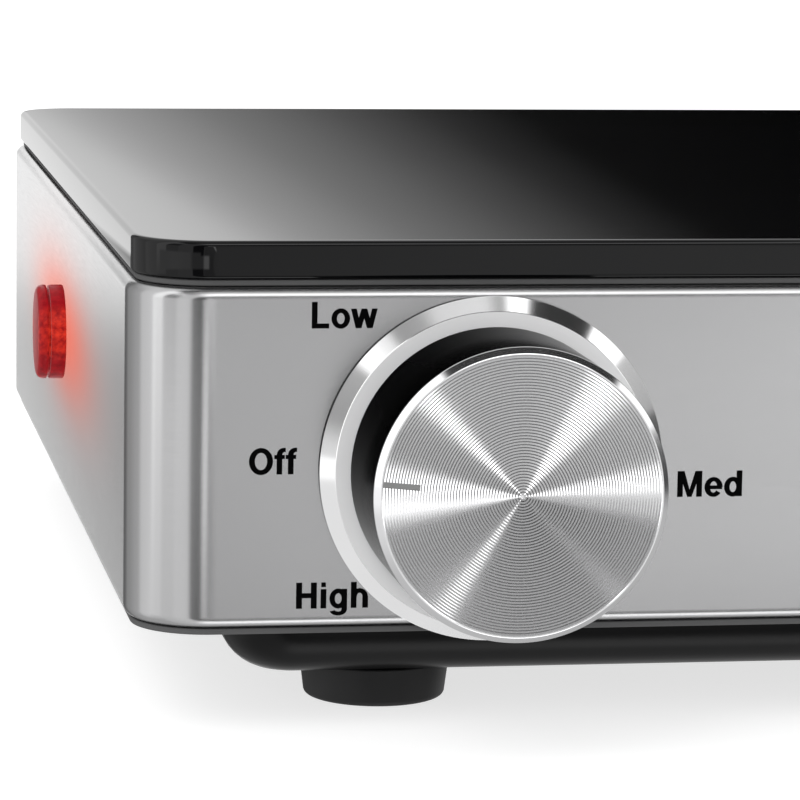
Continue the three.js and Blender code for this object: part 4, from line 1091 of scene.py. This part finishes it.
def makeWorld():
    values = {
        "diffuse": 0.92,
        # brightness round the horizon, in degrees from +Y towards +X
        "ring": ((0, 1.15), (20, 0.5), (60, 0.75), (110, 0.95), (150, 1.1), (163, 1.08), (168, 0.98),
                 (173, 0.74), (178, 0.68), (182, 0.8), (185, 2.3), (190, 2.3), (193, 0.62), (207, 0.62),
                 (213, 1.15), (236, 1.25), (256, 1.1), (288, 0.95), (296, 0.6), (326, 0.4), (340, 0.16),
                 (350, 0.14), (354, 0.28), (357, 1.0), (360, 1.2)),
        # what the knob's turned faces pick up: between two tilts off the front, by azimuth
        "fans": (
            (5, 11.7, ((0, 0.5), (1.5, 0.5), (2.2, 2.6), (12, 2.4), (12.8, 0.56), (40, 0.6), (49, 2.2),
                       (53, 3.8), (58, 2.6), (64, 0.75), (90, 0.6), (130, 0.6), (133, 3.4), (136, 3.4),
                       (139.5, 0.55), (180, 0.42), (200, 0.45), (240, 0.45), (300, 0.45), (345, 0.45),
                       (358, 0.45), (360, 0.5))),
            (11.7, 20, ((0, 0.08), (1.6, 0.08), (2.4, 1.1), (12, 1.0), (13, 0.10), (51, 0.10), (54, 2.2),
                        (58, 2.2), (61, 0.03), (160, 0.03), (200, 0.10), (270, 0.12), (330, 0.10),
                        (360, 0.10))),
            (20, 31, ((0, 0.9), (55, 0.9), (75, 2.6), (105, 2.6), (125, 0.9), (180, 0.9), (235, 0.9),
                      (255, 2.2), (285, 2.2), (305, 0.9), (360, 0.9))),
            (31, 41.5, ((0, 0.35), (8, 0.10), (18, 0.12), (22, 0.45), (41, 0.5), (43, 1.7), (55, 1.7),
                        (56, 0.02), (78.5, 0.02), (79.5, 1.7), (86, 1.4), (88, 0.35), (95, 0.8),
                        (110, 0.75), (118, 0.4), (126, 0.3), (130, 0.9), (140, 1.4), (144, 0.35),
                        (160, 0.3), (172, 0.7), (180, 0.82), (240, 0.8), (300, 0.65), (360, 0.35))),
            (41.5, 50, ((0, 0.55), (25, 0.6), (30, 1.5), (48, 1.5), (52, 0.03), (122, 0.03), (126, 1.7),
                        (172, 1.6), (190, 0.85), (215, 0.6), (300, 0.5), (360, 0.55))),
        ),
        "sightLine": (0.195, 0.966, -0.1725),
        # the reflection across the glass plate
        "glass": ((0.0, 1.1), (5.4, 1.06), (6.3, 0.97), (6.8, 0.88), (7.3, 0.67), (7.9, 0.52), (9.4, 0.29),
                  (11.3, 0.12), (12.6, 0.04), (13.9, 0.006), (20.0, 0.0)),
        "glassSlant": 1.7, "glassMiddle": 6.1, "glassRise": (0.5, 1.5), "glassEnd": (14, 11),
        "glassSides": ((-2, 2), (40, 34)),
        # parts of the ring that the fans leave alone: headings, then elevations, each with its fade
        "corners": (((183, 262, 1.0), (-12.4, -5.6, 0.5)), ((196, 262, 1.0), (-8.0, -4.0, 0.5))),
        # the bright strip that the glass plate's side picks up
        "strip": ((350, 358, 1.0), (-6.9, 40, 0.2)), "stripLevel": 1.15,
        "ceiling": 0.95, "ceilingFade": (22, 48), "floor": 0.55, "floorFade": (-24, -46),
        "farBelow": 0.8, "farAbove": 0.05, "farFade": (-13, -9),
    }
    world = bpy.data.worlds.new("studioWorld")
    bpy.context.scene.world = world
    world.use_nodes = True
    tree = world.node_tree
    tree.nodes.clear()
    where = tree.nodes.new("ShaderNodeTexCoord").outputs["Generated"]
    direction = vec(tree, "NORMALIZE", where)
    parts = put(tree, "ShaderNodeSeparateXYZ", Vector=direction)
    degrees = 180 / math.pi

    def grey(level):
        return (level, level, level, 1)

    def ramp(value, stops, span):
        node = tree.nodes.new("ShaderNodeValToRGB")
        node.color_ramp.interpolation = "EASE" if span > 30 else "LINEAR"
        elements = node.color_ramp.elements
        while len(elements) > 1:
            elements.remove(elements[0])
        elements[0].position = 0.0
        elements[0].color = grey(stops[0][1])
        for at, level in stops[1:]:
            elements.new(min(at / span, 1.0)).color = grey(level)
        share = calc(tree, "DIVIDE", value, span)
        tree.links.new(share, node.inputs["Fac"])
        return node.outputs["Color"]

    def turned(sideways, ahead):
        # An angle in degrees from 0 to 360.
        angle = calc(tree, "ARCTAN2", sideways, ahead)
        full = calc(tree, "MULTIPLY_ADD", angle, degrees, 360.0)
        return calc(tree, "MODULO", full, 360.0)

    heading = turned(parts.outputs["X"], parts.outputs["Y"])
    rise = calc(tree, "ARCSINE", parts.outputs["Z"])
    elevation = calc(tree, "MULTIPLY", rise, degrees)
    ring = ramp(heading, values["ring"], 360)
    level = blendColour(tree, remap(tree, elevation, *values["ceilingFade"], 0, 1), ring,
                        grey(values["ceiling"]))
    level = blendColour(tree, remap(tree, elevation, *values["floorFade"], 0, 1), level,
                        grey(values["floor"]))
    # Half way between the sight line and a direction lies the normal that would mirror it.
    half = vec(tree, "SUBTRACT", direction, values["sightLine"])
    facing = put(tree, "ShaderNodeSeparateXYZ", Vector=vec(tree, "NORMALIZE", half))
    forward = calc(tree, "MULTIPLY", facing.outputs["Y"], -1.0)
    tilt = calc(tree, "ARCCOSINE", forward)
    tiltDegrees = calc(tree, "MULTIPLY", tilt, degrees)
    around = turned(facing.outputs["Z"], facing.outputs["X"])

    def between(value, low, high, fade):
        # 1 between the two limits, 0 outside them.
        rise, fall = remap(tree, value, low - fade, low + fade, 0, 1), remap(tree, value, high - fade,
                                                                             high + fade, 1, 0)
        return calc(tree, "MULTIPLY", rise, fall)

    for low, high, stops in values["fans"]:
        level = blendColour(tree, between(tiltDegrees, low, high, 0.5), level, ramp(around, stops, 360))

    def inside(headings, elevations):
        return calc(tree, "MULTIPLY", between(heading, *headings), between(elevation, *elevations))

    corner = calc(tree, "MAXIMUM", *[inside(*limits) for limits in values["corners"]])
    level = blendColour(tree, corner, level, ring)
    level = blendColour(tree, inside(*values["strip"]), level, grey(values["stripLevel"]))
    # The glass patch lies straight ahead, low over the plate, cut on a slant.
    ahead = calc(tree, "ARCTAN2", parts.outputs["X"], parts.outputs["Y"])
    headed, steep = calc(tree, "MULTIPLY", ahead, degrees), values["glassSlant"]
    slant = calc(tree, "MULTIPLY_ADD", elevation, -steep, steep * values["glassMiddle"])
    across = calc(tree, "ADD", headed, slant)
    held = put(tree, "ShaderNodeClamp", Value=across, Min=0.0, Max=20.0).outputs[0]
    inGlass = remap(tree, elevation, *values["glassRise"], 0, 1)
    for side in values["glassSides"]:
        inGlass = calc(tree, "MULTIPLY", inGlass, remap(tree, headed, *side, 0, 1))
    inGlass = calc(tree, "MULTIPLY", inGlass, remap(tree, elevation, *values["glassEnd"], 0, 1))
    level = blendColour(tree, inGlass, level, ramp(held, values["glass"], 20))
    rays = tree.nodes.new("ShaderNodeLightPath")
    # Metal seen in metal looks back into a dark studio, except towards the floor.
    deep = calc(tree, "GREATER_THAN", rays.outputs["Glossy Depth"], 1.5)
    dark = remap(tree, elevation, *values["farFade"], values["farBelow"], values["farAbove"])
    level = blendColour(tree, deep, level, dark)
    level = blendColour(tree, rays.outputs["Is Diffuse Ray"], level, grey(values["diffuse"]))
    level = blendColour(tree, rays.outputs["Is Camera Ray"], level, (1, 1, 1, 1))
    light = put(tree, "ShaderNodeBackground", Color=level)
    output = tree.nodes.new("ShaderNodeOutputWorld")
    tree.links.new(light.outputs[0], output.inputs["Surface"])
    world.cycles.sampling_method = "NONE"
    return world


def makeFloor():
    floorMaterial, tree, shader = paint("paleFloor", (0.42, 0.42, 0.42), 0.9)
    glowing(shader, (1, 1, 1), 0.72)
    # From below the floor is clear, so that the feet and vents can be looked at.
    side = tree.nodes.new("ShaderNodeNewGeometry").outputs["Backfacing"]
    clear, mixed = tree.nodes.new("ShaderNodeBsdfTransparent"), tree.nodes.new("ShaderNodeMixShader")
    tree.links.new(side, mixed.inputs[0])
    tree.links.new(shader.outputs[0], mixed.inputs[1])
    tree.links.new(clear.outputs[0], mixed.inputs[2])
    tree.links.new(mixed.outputs[0], tree.nodes["Material Output"].inputs["Surface"])
    bm = bmesh.new()
    bmesh.ops.create_grid(bm, x_segments=1, y_segments=1, size=30)
    floor = finishMesh(bm, "studioFloor", recalculate=False)
    floor.data.materials.append(floorMaterial)
    floor.visible_glossy = False
    floor.visible_diffuse = False
    return floor


def makeLight(name, place, aim, size, power):
    lamp = bpy.data.lights.new(name, "AREA")
    lamp.shape, lamp.size, lamp.size_y, lamp.energy = "RECTANGLE", size[0], size[1], power
    holder = placed(name, lamp)
    holder.location = place
    holder.rotation_euler = (Vector(aim) - Vector(place)).to_track_quat("-Z", "Y").to_euler()
    holder.visible_camera = False
    holder.visible_glossy = False
    return holder


def makeCamera():
    values = {"offset": (-0.0585, -0.5744, 0.1216), "direction": (0.16523, 0.97485, -0.14953), "roll": 0.91,
              "lens": 183.06}
    lens = bpy.data.cameras.new("photoCamera")
    lens.lens, lens.sensor_width = values["lens"], 36
    lens.clip_start, lens.clip_end = 0.01, 200
    holder = placed("photoCamera", lens)
    holder.location = shellLow + Vector(values["offset"])
    roll = Quaternion((0, 0, 1), math.radians(values["roll"]))
    holder.rotation_mode = "QUATERNION"
    holder.rotation_quaternion = Vector(values["direction"]).to_track_quat("-Z", "Y") @ roll
    bpy.context.scene.camera = holder
    return holder


makeWorld()
makeFloor()
makeLight("softKey", (-0.7, -0.8, 1.1), (0, 0, 0.04), (0.7, 0.7), 7)
makeCamera()
settings = bpy.context.scene.view_settings
settings.view_transform, settings.look = "Standard", "None"
print("studio made")
